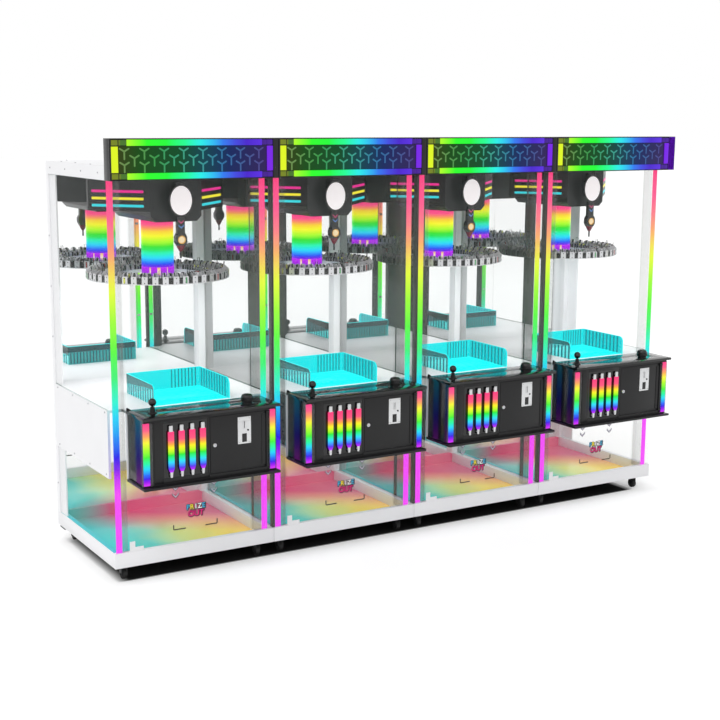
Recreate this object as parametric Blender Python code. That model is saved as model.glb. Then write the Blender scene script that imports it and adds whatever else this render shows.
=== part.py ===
"""A bank of four linked prize machines.

Each station is a glazed cabinet: a ring of prize clips turns under a black overhead housing, a poker
drops onto the ring, and what falls into the clear tray goes down to the prize door. Metres, +Z up, the
stations run along +X and face -Y, and the origin is on the floor at the middle of the bank.
"""

import itertools
import math

import bmesh
import bpy
from mathutils import Matrix, Vector

# Driving dimensions
STATIONS = 4
PITCH = 0.820  # from one station to the next
SEAM = 0.002  # gap between two cabinets
DEPTH = 0.820
FIT = 0.0003  # gap between pieces that rest on each other
OVERLAP = 0.002  # how far shapes of one piece run into each other

# Casters and the steel strips that carry them
CASTER_HEIGHT = 0.075
STRIP_THICKNESS = 0.006
STRIP_WIDTH = 0.070
STRIP_INSET = 0.035  # from the cabinet's front or back face
WHEEL_RADIUS = 0.025
WHEEL_WIDTH = 0.022
FORK_WALL = 0.004
FORK_GAP = 0.0015
CASTER_INSET = 0.065  # from the station's sides to the caster's middle
CASTER_SIDES = 16
AXLE_RADIUS = 0.005
FORK_DEPTH = 0.024
FORK_CROWN = 0.006
KINGPIN_RADIUS = 0.016
WHEEL_CLEARANCE = 0.004

# Plinth
PLINTH_HEIGHT = 0.072
PLINTH_FLOOR = 0.014
PLINTH_RIM = 0.026

# Frame
FRAME_TOP = 1.913
RAIL_HEIGHT = 0.063
RAIL_THICKNESS = 0.020
CEILING_THICKNESS = 0.012
POST_WIDTH = 0.041
POST_DEPTH = 0.028
APRON_BOTTOM = 0.493
PANEL_THICKNESS = 0.012
DECK_TOP = 0.813
DECK_THICKNESS = 0.012
END_COVER_DEPTH = 0.115
END_COVER_THICKNESS = 0.006

# Rear mirror and the panel behind it
MIRROR_THICKNESS = 0.004
BACK_PANEL_THICKNESS = 0.015

# Glazing
LEFT_PILLAR = 0.072
RIGHT_PILLAR = 0.104
PILLAR_DEPTH = 0.050
PILLAR_WALL = 0.004
GLASS = 0.005
FRONT_GLASS_SETBACK = 0.020

# Tray and the drop hole that it surrounds
TRAY_OFFSET = 0.003  # from the station's middle to the tray's, along X
TRAY_WIDTH = 0.384
TRAY_FRONT = 0.030
TRAY_DEPTH = 0.343
TRAY_HEIGHT = 0.098
TRAY_WALL = 0.005
TRAY_FLOOR = 0.004
TRAY_CORNER = 0.030
DROP_DEPTH = 0.100
DROP_MARGIN = 0.006  # between the tray wall and the drop hole

# Overhead housing
HOUSING_FACE = 0.254
HOUSING_WIDTH = 0.688
HOUSING_DEPTH = 0.476
HOUSING_SIDE = 0.020
HOUSING_HEIGHT = 0.2062
BLOCK_HEIGHT = 0.0495
BLOCK_CHAMFER = 0.024

# Badge and the guide block behind it
BADGE_WIDTH = 0.118
BADGE_HEIGHT = 0.148
BADGE_THICKNESS = 0.006
BADGE_RISE = 0.0515  # from the housing's bottom to the badge's middle
BADGE_REACH = 0.060  # from the housing's front face to the badge's
BADGE_SIDES = 24
GUIDE_WIDTH = 0.050
GUIDE_RISE = 0.0055  # from the housing's bottom to the guide block's
GUIDE_HEIGHT = 0.130
GUIDE_WALL = 0.0045

# Poker
POKER_TRAVEL = 0.090
POKER_DROP = 0.222  # from the guide block's bottom to the tip
POKER_SPARE = 0.030  # rod left in the guide at full travel
POKER_ROD_RADIUS = 0.007
POKER_TIP_RADIUS = 0.006
POKER_CLEARANCE = 0.0005
CONE_HEIGHT = 0.026
CONE_RADIUS = 0.0205
COLLAR_HEIGHT = 0.058
COLLAR_RADIUS = 0.029
COLLAR_WAIST = 0.0145  # height of the collar's lower slope
COLLAR_SHOULDER = 0.0116  # height of its upper slope
POKER_POINT = 0.032
ARM_WIDTH = 0.038
ARM_DEPTH = 0.024
ARM_HEIGHT = 0.078
ARM_SEAT = 0.004  # how far the arm runs down into the collar

# Light tower and its crown of teeth
TOWER_RADIUS = 0.078
TOWER_HEIGHT = 0.2335
CROWN_HEIGHT = 0.0365
CROWN_WALL = 0.016
CROWN_SLOTS = 5
CROWN_SLOT_WIDTH = 0.020
CROWN_ROOT = 0.008  # solid crown above the slots
SOCKET_DEPTH = 0.036
TOWER_SIDES = 28

# Ring that carries the prize clips
RING_RADIUS = 0.344
RING_INNER_RADIUS = 0.205
RING_DROP = 0.0491  # from the tower's bottom to the ring's
RING_HEIGHT = 0.074
RING_WALL = 0.006
SPOKES = 4
SPOKE_WIDTH = 0.022
SPOKE_INSET = 0.0005  # from the ring floor's faces to the spokes'
HUB_RADIUS = 0.050
HUB_THICKNESS = 0.008
SHAFT_RADIUS = 0.008
SHAFT_CLEARANCE = 0.0005
SHAFT_END_GAP = 0.006
RING_SIDES = 32

# Marquee
MARQUEE_LAP = 0.001  # how far the marquee reaches below the top rail
MARQUEE_HEIGHT = 0.1825
MARQUEE_DEPTH = 0.070
MARQUEE_END = 0.018  # how far the end marquees stand past the cabinet

# Control box
BOX_LAP = 0.023  # how far the box reaches over the right pillar
BOX_WIDTH = 0.660
BOX_DEPTH = 0.185
BOX_RISE = 0.005  # from the apron's bottom to the box's
BOX_HEIGHT = 0.307
BOX_WALL = 0.005
LID_THICKNESS = 0.012
LID_SIDE = 0.010
LID_FRONT = 0.028

# Coin door
DOOR_SIDE_MARGIN = 0.051  # from the door's right edge to the box's
DOOR_WIDTH = 0.285
DOOR_MARGIN = 0.020  # above and below the door
DOOR_THICKNESS = 0.008
DOOR_GAP = 0.0015
BARREL_RADIUS = 0.005
HINGE_LUG = 0.010
HINGE_LUG_WIDTH = 0.012
HINGE_LEAF = 0.024
COIN_PLATE_SIDE = 0.080  # from the door's right edge to the plate's
COIN_PLATE_WIDTH = 0.067
COIN_PLATE_DROP = 0.016  # from the door's top to the plate's
COIN_PLATE_HEIGHT = 0.127
COIN_PLATE_THICKNESS = 0.003
COIN_SLOT_WIDTH = 0.0035
COIN_SLOT_HEIGHT = 0.030
COIN_SLOT_RISE = 0.0889  # from the plate's bottom to the slot's middle

# Joystick
STICK_INSET = 0.080  # from the box's left side
STICK_Y = -0.104
STICK_RADIUS = 0.005
STICK_HEIGHT = 0.048  # from the lid to the ball's middle
STICK_BELOW = 0.060
BALL_RADIUS = 0.0180
BOOT_RADIUS = 0.0155
BOOT_CLEARANCE = 0.0005
COLLAR_RING = 0.006
COLLAR_RING_HEIGHT = 0.003

# Push button
BUTTON_INSET = 0.106  # from the box's right side
BUTTON_Y = -0.098
BUTTON_RADIUS = 0.030
BUTTON_HEIGHT = 0.034
BUTTON_EDGE = 0.008  # straight side of the cap under its dome
BUTTON_STEM_RADIUS = 0.0240
BUTTON_STEM = 0.040
BUTTON_TRAVEL = 0.004
BUTTON_CLEARANCE = 0.0005

# Prize door
FLAP_THICKNESS = 0.005
FLAP_GAP = 0.0015
FLAP_BARREL = 0.005
FLAP_SETBACK = 0.0015

# Heights and depths that follow
PLINTH_TOP = CASTER_HEIGHT + PLINTH_HEIGHT
CABINET_BOTTOM = PLINTH_TOP + FIT
RAIL_BOTTOM = FRAME_TOP - RAIL_HEIGHT
CEILING_BOTTOM = FRAME_TOP - CEILING_THICKNESS
GLASS_TOP = RAIL_BOTTOM - FIT
BACK_PANEL_FRONT = DEPTH - BACK_PANEL_THICKNESS
MIRROR_FRONT = BACK_PANEL_FRONT - FIT - MIRROR_THICKNESS
FRAME_BACK = MIRROR_FRONT - FIT
BOX_BOTTOM = APRON_BOTTOM + BOX_RISE
LID_BOTTOM = BOX_BOTTOM + BOX_HEIGHT
LID_TOP = LID_BOTTOM + LID_THICKNESS
DOOR_BOTTOM = BOX_BOTTOM + DOOR_MARGIN
DOOR_HEIGHT = BOX_HEIGHT - 2 * DOOR_MARGIN
COIN_PLATE_BOTTOM = DOOR_BOTTOM + DOOR_HEIGHT - COIN_PLATE_DROP - COIN_PLATE_HEIGHT
MARQUEE_BOTTOM = RAIL_BOTTOM - MARQUEE_LAP
HOUSING_BOTTOM = CEILING_BOTTOM - FIT - HOUSING_HEIGHT
BLOCK_BOTTOM = HOUSING_BOTTOM - BLOCK_HEIGHT
BADGE_CENTRE = HOUSING_BOTTOM + BADGE_RISE
GUIDE_BOTTOM = HOUSING_BOTTOM + GUIDE_RISE
TOWER_BOTTOM = BLOCK_BOTTOM - TOWER_HEIGHT
RING_BOTTOM = TOWER_BOTTOM - RING_DROP
HUB_TOP = RING_BOTTOM + HUB_THICKNESS
POKER_TIP = GUIDE_BOTTOM - POKER_DROP
ARM_BOTTOM = POKER_TIP + POKER_POINT + CONE_HEIGHT + COLLAR_HEIGHT
LEFT = SEAM / 2
RIGHT = PITCH - SEAM / 2
MIDDLE_X = PITCH / 2
MIDDLE_Y = DEPTH / 2
LEFT_PILLAR_END = LEFT + LEFT_PILLAR
RIGHT_PILLAR_START = RIGHT - RIGHT_PILLAR
HOUSING_FRONT = MIDDLE_Y - HOUSING_DEPTH / 2
BADGE_FRONT = HOUSING_FRONT - BADGE_REACH
GUIDE_FRONT = BADGE_FRONT + BADGE_THICKNESS
POKER_Y = GUIDE_FRONT + GUIDE_WALL + POKER_ROD_RADIUS
TRAY_LEFT = MIDDLE_X + TRAY_OFFSET - TRAY_WIDTH / 2
TRAY_RIGHT = TRAY_LEFT + TRAY_WIDTH
DROP_BACK = TRAY_FRONT + DROP_MARGIN + DROP_DEPTH
BOX_RIGHT = RIGHT_PILLAR_START + BOX_LAP
BOX_LEFT = BOX_RIGHT - BOX_WIDTH
DOOR_RIGHT = BOX_RIGHT - DOOR_SIDE_MARGIN
DOOR_LEFT = DOOR_RIGHT - DOOR_WIDTH
COIN_PLATE_LEFT = DOOR_RIGHT - COIN_PLATE_SIDE - COIN_PLATE_WIDTH
STICK_X = BOX_LEFT + STICK_INSET
BUTTON_X = BOX_RIGHT - BUTTON_INSET

# Where the whole bank stands: the overall box is centred on X and Y
BANK_FRONT = -(BOX_DEPTH + LID_FRONT)
SHIFT = Vector((-STATIONS * PITCH / 2, -(BANK_FRONT + DEPTH) / 2, 0))

# Colours as RGB, with roughness and metallic
FINISHES = {
    "white": ((0.86, 0.86, 0.87), 0.45, 0.0),
    "black": ((0.02, 0.02, 0.022), 0.35, 0.0),
    "steel": ((0.03, 0.03, 0.03), 0.5, 0.6),
    "mirror": ((0.9, 0.92, 0.92), 0.03, 1.0),
    "clear": ((0.85, 0.93, 0.93), 0.08, 0.0),
    "teal": ((0.05, 0.75, 0.78), 0.15, 0.0),
    "chrome": ((0.7, 0.7, 0.72), 0.2, 0.9),
    "glow": ((0.9, 0.9, 0.35), 0.3, 0.0),
    "poker": ((0.05, 0.04, 0.05), 0.3, 0.2),
}


def clear_scene():
    for thing in list(bpy.data.objects):
        bpy.data.objects.remove(thing, do_unlink=True)


def finish(name):
    material = bpy.data.materials.get(name)
    if material:
        return material
    colour, roughness, metallic = FINISHES[name]
    material = bpy.data.materials.new(name)
    material.use_nodes = True
    shader = material.node_tree.nodes["Principled BSDF"]
    shader.inputs["Base Color"].default_value = (*colour, 1)
    shader.inputs["Roughness"].default_value = roughness
    shader.inputs["Metallic"].default_value = metallic
    return material


def to_mesh(shape):
    bmesh.ops.recalc_face_normals(shape, faces=shape.faces)
    mesh = bpy.data.meshes.new("shape")
    shape.to_mesh(mesh)
    shape.free()
    return mesh


def box_work(solids, holes=()):
    """One mesh of the space that any of the solid boxes fills and no hole does.

    Each box is a triple of (low, high) pairs. Space is cut into cells at every face of every box, and
    a face is made wherever a filled cell meets an empty one.
    """
    steps = []
    for axis in range(3):
        places = {round(value, 6) for box in (*solids, *holes) for value in box[axis]}
        steps.append(sorted(places))
    counts = [len(places) - 1 for places in steps]

    def holds(box, middle):
        return all(low < value < high for value, (low, high) in zip(middle, box))

    filled = set()
    for cell in itertools.product(*(range(count) for count in counts)):
        middle = [(steps[a][i] + steps[a][i + 1]) / 2 for a, i in enumerate(cell)]
        if any(holds(box, middle) for box in solids) and not any(holds(box, middle) for box in holes):
            filled.add(cell)

    shape = bmesh.new()
    corners = {}

    def corner(index):
        if index not in corners:
            corners[index] = shape.verts.new([steps[a][i] for a, i in enumerate(index)])
        return corners[index]

    for cell in sorted(filled):
        for axis in range(3):
            for side in (0, 1):
                beyond = list(cell)
                beyond[axis] += 2 * side - 1
                if tuple(beyond) in filled:
                    continue
                start = list(cell)
                start[axis] += side
                u, v = (axis + 1) % 3, (axis + 2) % 3
                ring = []
                for du, dv in ((0, 0), (1, 0), (1, 1), (0, 1)):
                    point = list(start)
                    point[u] += du
                    point[v] += dv
                    ring.append(corner(tuple(point)))
                shape.faces.new(ring if side else ring[::-1])
    bmesh.ops.dissolve_limit(
        shape, angle_limit=math.radians(1), verts=shape.verts, edges=shape.edges
    )
    return to_mesh(shape)


def block(x, y, z):
    """A box from its (low, high) pairs along each axis."""
    return box_work([(x, y, z)])


def prism(outline, low, high, axis="Z"):
    """An outline in the two other axes, in order, carried from low to high along the axis."""
    shape = bmesh.new()

    def place(first, second, along):
        places = {"X": (along, first, second), "Y": (first, along, second), "Z": (first, second, along)}
        return shape.verts.new(places[axis])

    starts = [place(a, b, low) for a, b in outline]
    ends = [place(a, b, high) for a, b in outline]
    shape.faces.new(starts)
    shape.faces.new(ends)
    for i, start in enumerate(starts):
        j = (i + 1) % len(starts)
        shape.faces.new((start, starts[j], ends[j], ends[i]))
    return to_mesh(shape)


def turned(profile, sides, centre=(0, 0), hollow=False):
    """A profile of (radius, height) turned round a vertical line; hollow closes it on itself."""
    shape = bmesh.new()
    rows = []
    for radius, height in profile:
        if radius == 0:
            rows.append([shape.verts.new((centre[0], centre[1], height))])
            continue
        row = []
        for i in range(sides):
            turn = 2 * math.pi * i / sides
            x = centre[0] + radius * math.cos(turn)
            y = centre[1] + radius * math.sin(turn)
            row.append(shape.verts.new((x, y, height)))
        rows.append(row)
    pairs = list(zip(rows, rows[1:]))
    if hollow:
        pairs.append((rows[-1], rows[0]))
    for low, high in pairs:
        for i in range(sides):
            j = (i + 1) % sides
            if len(low) == 1:
                shape.faces.new((low[0], high[j], high[i]))
            elif len(high) == 1:
                shape.faces.new((low[i], low[j], high[0]))
            else:
                shape.faces.new((low[i], low[j], high[j], high[i]))
    return to_mesh(shape)


def rod(centre, radius, low, high, sides=24):
    """A vertical cylinder."""
    return turned([(0, low), (radius, low), (radius, high), (0, high)], sides, centre)


def cross_rod(x, y, z, radius, sides=16):
    """A cylinder along X, from x[0] to x[1]."""
    turns = [2 * math.pi * i / sides for i in range(sides)]
    outline = [(y + radius * math.cos(t), z + radius * math.sin(t)) for t in turns]
    return prism(outline, x[0], x[1], axis="X")


def fused(shapes, cuts=()):
    """One mesh: the first shape joined with the others, less the cuts."""
    tools = [bpy.data.objects.new("tool", mesh) for mesh in (*shapes, *cuts)]
    for tool in tools:
        bpy.context.collection.objects.link(tool)
    body = tools[0]
    for i, tool in enumerate(tools[1:], 1):
        step = body.modifiers.new("join", "BOOLEAN")
        step.operation = "UNION" if i < len(shapes) else "DIFFERENCE"
        step.object = tool
        step.solver = "EXACT"
    seen = body.evaluated_get(bpy.context.evaluated_depsgraph_get())
    mesh = bpy.data.meshes.new_from_object(seen)
    for tool in tools:
        bpy.data.objects.remove(tool, do_unlink=True)
    return mesh


def place(name, mesh, finish_name, station=0, pivot=(0, 0, 0)):
    """An object of the mesh, which is in station coordinates, with its origin at the pivot."""
    mesh = mesh.copy()
    mesh.transform(Matrix.Translation(-Vector(pivot)))
    mesh.name = name
    mesh.materials.clear()
    mesh.materials.append(finish(finish_name))
    mesh.shade_smooth()
    mesh.set_sharp_from_angle(angle=math.radians(35))
    thing = bpy.data.objects.new(name, mesh)
    bpy.context.collection.objects.link(thing)
    thing.location = Vector(pivot) + SHIFT + Vector((station * PITCH, 0, 0))


def caster(x, y):
    """The wheel, its axle, the fork's two cheeks and crown, and the kingpin up to the strip."""
    strip_bottom = CASTER_HEIGHT - FIT - STRIP_THICKNESS
    half = WHEEL_WIDTH / 2
    fork = half + FORK_GAP + FORK_WALL
    cheek_y = (y - FORK_DEPTH / 2, y + FORK_DEPTH / 2)
    crown = 2 * WHEEL_RADIUS + WHEEL_CLEARANCE
    cheek_z = (WHEEL_RADIUS - FORK_DEPTH / 3, crown + FORK_CROWN / 2)
    # The round outline has a flat at the bottom, so the wheel stands on a face at height 0
    half_turn = math.pi / CASTER_SIDES
    reach = WHEEL_RADIUS / math.cos(half_turn)
    turns = [half_turn * (2 * i + 1) for i in range(CASTER_SIDES)]
    tread = [(y + reach * math.sin(t), WHEEL_RADIUS - reach * math.cos(t)) for t in turns]
    return [
        prism(tread, x - half, x + half, axis="X"),
        cross_rod((x - fork, x + fork), y, WHEEL_RADIUS, AXLE_RADIUS, 8),
        block((x - fork, x - fork + FORK_WALL), cheek_y, cheek_z),
        block((x + fork - FORK_WALL, x + fork), cheek_y, cheek_z),
        block((x - fork, x + fork), (y - KINGPIN_RADIUS, y + KINGPIN_RADIUS), (crown, crown + FORK_CROWN)),
        rod((x, y), KINGPIN_RADIUS, crown + FORK_CROWN / 2, strip_bottom + OVERLAP, 10),
    ]


def caster_strip(y_middle):
    """A steel strip the length of the bank with two casters under each station."""
    half = STRIP_WIDTH / 2
    length = (LEFT, STATIONS * PITCH - SEAM / 2)
    height = (CASTER_HEIGHT - FIT - STRIP_THICKNESS, CASTER_HEIGHT - FIT)
    shapes = [block(length, (y_middle - half, y_middle + half), height)]
    for station in range(STATIONS):
        for x in (CASTER_INSET, PITCH - CASTER_INSET):
            shapes.extend(caster(station * PITCH + x, y_middle))
    return fused(shapes)


def plinth():
    outside = ((LEFT, RIGHT), (0, DEPTH), (CASTER_HEIGHT, PLINTH_TOP))
    inside = (
        (LEFT + PLINTH_RIM, RIGHT - PLINTH_RIM),
        (PLINTH_RIM, DEPTH - PLINTH_RIM),
        (CASTER_HEIGHT + PLINTH_FLOOR, PLINTH_TOP),
    )
    return box_work([outside], [inside])


def cabinet_frame(left_end, right_end):
    """Posts, rails, ceiling, side panels, apron and deck, welded as one frame."""
    tall = (CABINET_BOTTOM, FRAME_TOP)
    whole = (LEFT, RIGHT)
    deep = (0, FRAME_BACK)
    post_front = FRAME_BACK - POST_DEPTH
    post = (post_front, FRAME_BACK)
    rail = (RAIL_BOTTOM, FRAME_TOP)
    panel = (APRON_BOTTOM, DECK_TOP)
    deck = (DECK_TOP - DECK_THICKNESS, DECK_TOP)
    boxes = [
        (whole, deep, (CEILING_BOTTOM, FRAME_TOP)),
        (whole, (0, RAIL_THICKNESS), rail),
        (whole, post, rail),
        (whole, deep, deck),
        (whole, (0, PANEL_THICKNESS), panel),
    ]
    cover = (GLASS + FIT, GLASS + FIT + END_COVER_THICKNESS)
    for edge, inward, is_end in ((LEFT, 1, left_end), (RIGHT, -1, right_end)):
        sides = [
            (0, RAIL_THICKNESS, deep, rail),
            (0, POST_WIDTH, post, tall),
            (0, PANEL_THICKNESS, deep, panel),
        ]
        if is_end:
            sides.append((*cover, (FRAME_BACK - END_COVER_DEPTH, FRAME_BACK), tall))
        for near, far, y, z in sides:
            boxes.append((tuple(sorted((edge + inward * near, edge + inward * far))), y, z))
    corner = (0, PILLAR_DEPTH + FIT)
    holes = [
        ((LEFT, LEFT_PILLAR_END + FIT), corner, panel),
        ((RIGHT_PILLAR_START - FIT, RIGHT), corner, panel),
        (
            (TRAY_LEFT + TRAY_WALL + DROP_MARGIN, TRAY_RIGHT - TRAY_WALL - DROP_MARGIN),
            (TRAY_FRONT + DROP_MARGIN, DROP_BACK),
            deck,
        ),
    ]
    return box_work(boxes, holes)


def glazing():
    """Clear corner channels, open at the back, with the front and side panes bonded to them."""
    tall = (CABINET_BOTTOM, GLASS_TOP)
    upper = (DECK_TOP + FIT, GLASS_TOP)
    lower = (CABINET_BOTTOM, APRON_BOTTOM - FIT)
    side = (PILLAR_DEPTH, FRAME_BACK - POST_DEPTH - FIT)
    front = (FRONT_GLASS_SETBACK, FRONT_GLASS_SETBACK + GLASS)
    boxes = [((LEFT_PILLAR_END, RIGHT_PILLAR_START), front, upper)]
    for start, end in ((LEFT, LEFT_PILLAR_END), (RIGHT_PILLAR_START, RIGHT)):
        boxes.append(((start, end), (0, PILLAR_WALL), tall))
        boxes.append(((start, start + PILLAR_WALL), (0, PILLAR_DEPTH), tall))
        boxes.append(((end - PILLAR_WALL, end), (0, PILLAR_DEPTH), tall))
    for height in (lower, upper):
        boxes.append(((LEFT, LEFT + GLASS), side, height))
        boxes.append(((RIGHT - GLASS, RIGHT), side, height))
    return box_work(boxes)


def tray():
    """Side walls with rounded front corners, a back wall and a floor behind the drop hole."""
    base = DECK_TOP + FIT
    top = base + TRAY_HEIGHT
    back = TRAY_FRONT + TRAY_DEPTH
    steps = 6
    corner = []
    for i in range(steps + 1):
        turn = math.pi / 2 * i / steps
        corner.append(
            (
                TRAY_FRONT + TRAY_CORNER - TRAY_CORNER * math.cos(turn),
                top - TRAY_CORNER + TRAY_CORNER * math.sin(turn),
            )
        )
    outline = [(back, base), (TRAY_FRONT, base), *corner, (back, top)]
    inner = TRAY_WALL - OVERLAP
    return fused(
        [
            block((TRAY_LEFT + inner, TRAY_RIGHT - inner), (back - TRAY_WALL, back), (base, top)),
            prism(outline, TRAY_LEFT, TRAY_LEFT + TRAY_WALL, axis="X"),
            prism(outline, TRAY_RIGHT - TRAY_WALL, TRAY_RIGHT, axis="X"),
            block(
                (TRAY_LEFT + inner, TRAY_RIGHT - inner),
                (DROP_BACK, back - inner),
                (base, base + TRAY_FLOOR),
            ),
        ]
    )


def overhead_housing():
    """The eight-sided housing, the block under it, and the guide block with its badge."""
    face = HOUSING_FACE / 2
    wide = HOUSING_WIDTH / 2
    deep = HOUSING_DEPTH / 2
    side = HOUSING_SIDE / 2
    quarter = [(face, -deep), (wide, -side), (wide, side), (face, deep)]
    outline = [(MIDDLE_X + x, MIDDLE_Y + y) for x, y in quarter]
    outline += [(MIDDLE_X - x, MIDDLE_Y - y) for x, y in quarter]
    lower = [
        (MIDDLE_X - face + BLOCK_CHAMFER, BLOCK_BOTTOM),
        (MIDDLE_X + face - BLOCK_CHAMFER, BLOCK_BOTTOM),
        (MIDDLE_X + face, BLOCK_BOTTOM + BLOCK_CHAMFER),
        (MIDDLE_X + face, HOUSING_BOTTOM + OVERLAP),
        (MIDDLE_X - face, HOUSING_BOTTOM + OVERLAP),
        (MIDDLE_X - face, BLOCK_BOTTOM + BLOCK_CHAMFER),
    ]
    turns = [2 * math.pi * i / BADGE_SIDES for i in range(BADGE_SIDES)]
    badge = [
        (
            MIDDLE_X + BADGE_WIDTH / 2 * math.cos(t),
            BADGE_CENTRE + BADGE_HEIGHT / 2 * math.sin(t),
        )
        for t in turns
    ]
    guide_top = GUIDE_BOTTOM + GUIDE_HEIGHT
    bore = rod(
        (MIDDLE_X, POKER_Y),
        POKER_ROD_RADIUS + POKER_CLEARANCE,
        GUIDE_BOTTOM - OVERLAP,
        guide_top + OVERLAP,
        16,
    )
    return fused(
        [
            prism(outline, HOUSING_BOTTOM, CEILING_BOTTOM - FIT),
            prism(lower, MIDDLE_Y - deep + FIT, MIDDLE_Y + deep - FIT, axis="Y"),
            block(
                (MIDDLE_X - GUIDE_WIDTH / 2, MIDDLE_X + GUIDE_WIDTH / 2),
                (GUIDE_FRONT, HOUSING_FRONT + OVERLAP),
                (GUIDE_BOTTOM, guide_top),
            ),
            prism(badge, BADGE_FRONT, GUIDE_FRONT + OVERLAP, axis="Y"),
        ],
        [bore],
    )


def poker():
    """The rod in its guide, the flat arm, the collar, the cone and the thin point."""
    centre = (MIDDLE_X, POKER_Y)
    cone_bottom = POKER_TIP + POKER_POINT
    collar_bottom = cone_bottom + CONE_HEIGHT
    waist = collar_bottom + COLLAR_WAIST
    shoulder = ARM_BOTTOM - COLLAR_SHOULDER
    arm_top = ARM_BOTTOM + ARM_HEIGHT
    rod_top = GUIDE_BOTTOM + POKER_TRAVEL + POKER_SPARE
    profile = [
        (0, POKER_TIP),
        (POKER_TIP_RADIUS, POKER_TIP),
        (POKER_TIP_RADIUS, cone_bottom),
        (CONE_RADIUS, collar_bottom),
        (COLLAR_RADIUS, waist),
        (COLLAR_RADIUS, shoulder),
        (ARM_DEPTH / 2, ARM_BOTTOM),
        (POKER_ROD_RADIUS, ARM_BOTTOM + OVERLAP),
        (POKER_ROD_RADIUS, rod_top),
        (0, rod_top),
    ]
    arm = block(
        (MIDDLE_X - ARM_WIDTH / 2, MIDDLE_X + ARM_WIDTH / 2),
        (POKER_Y - ARM_DEPTH / 2, POKER_Y + ARM_DEPTH / 2),
        (ARM_BOTTOM - ARM_SEAT, arm_top),
    )
    return fused([turned(profile, 16, centre), arm])


def light_tower():
    """A round light column with a crown of teeth round its lower end."""
    centre = (MIDDLE_X, MIDDLE_Y)
    crown_bottom = TOWER_BOTTOM - CROWN_HEIGHT
    inner = TOWER_RADIUS - CROWN_WALL
    socket = SHAFT_RADIUS + SHAFT_CLEARANCE
    column = turned(
        [
            (0, TOWER_BOTTOM + SOCKET_DEPTH),
            (socket, TOWER_BOTTOM + SOCKET_DEPTH),
            (socket, TOWER_BOTTOM),
            (inner, TOWER_BOTTOM),
            (inner, crown_bottom),
            (TOWER_RADIUS, crown_bottom),
            (TOWER_RADIUS, BLOCK_BOTTOM - FIT),
            (0, BLOCK_BOTTOM - FIT),
        ],
        TOWER_SIDES,
        centre,
    )
    slots = []
    for i in range(CROWN_SLOTS):
        slot = block(
            (-2 * TOWER_RADIUS, 2 * TOWER_RADIUS),
            (-CROWN_SLOT_WIDTH / 2, CROWN_SLOT_WIDTH / 2),
            (crown_bottom - OVERLAP, TOWER_BOTTOM - CROWN_ROOT),
        )
        turn = Matrix.Rotation(math.pi * i / CROWN_SLOTS, 4, "Z")
        slot.transform(Matrix.Translation((*centre, 0)) @ turn)
        slots.append(slot)
    return fused([column], slots)


def clip_ring():
    """A trough-shaped ring on spokes, with the hub and shaft that hang it from the tower."""
    centre = (MIDDLE_X, MIDDLE_Y)
    top = RING_BOTTOM + RING_HEIGHT
    floor = RING_BOTTOM + RING_WALL
    trough = turned(
        [
            (RING_INNER_RADIUS, RING_BOTTOM),
            (RING_RADIUS, RING_BOTTOM),
            (RING_RADIUS, top),
            (RING_RADIUS - RING_WALL, top),
            (RING_RADIUS - RING_WALL, floor),
            (RING_INNER_RADIUS + RING_WALL, floor),
            (RING_INNER_RADIUS + RING_WALL, top),
            (RING_INNER_RADIUS, top),
        ],
        RING_SIDES,
        centre,
        hollow=True,
    )
    shaft_top = TOWER_BOTTOM + SOCKET_DEPTH - SHAFT_END_GAP
    hub = turned(
        [
            (0, RING_BOTTOM),
            (HUB_RADIUS, RING_BOTTOM),
            (HUB_RADIUS, HUB_TOP),
            (SHAFT_RADIUS, HUB_TOP),
            (SHAFT_RADIUS, shaft_top),
            (0, shaft_top),
        ],
        TOWER_SIDES,
        centre,
    )
    spokes = []
    for i in range(SPOKES):
        spoke = block(
            (HUB_RADIUS / 2, RING_INNER_RADIUS + RING_WALL / 2),
            (-SPOKE_WIDTH / 2, SPOKE_WIDTH / 2),
            (RING_BOTTOM + SPOKE_INSET, floor - SPOKE_INSET),
        )
        turn = Matrix.Rotation(2 * math.pi * (i + 0.5) / SPOKES, 4, "Z")
        spoke.transform(Matrix.Translation((*centre, 0)) @ turn)
        spokes.append(spoke)
    return fused([trough, *spokes, hub])


def marquee(left_end, right_end):
    left = LEFT - (MARQUEE_END if left_end else 0)
    right = RIGHT + (MARQUEE_END if right_end else 0)
    return block(
        (left, right), (-MARQUEE_DEPTH, -FIT), (MARQUEE_BOTTOM, MARQUEE_BOTTOM + MARQUEE_HEIGHT)
    )


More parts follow.
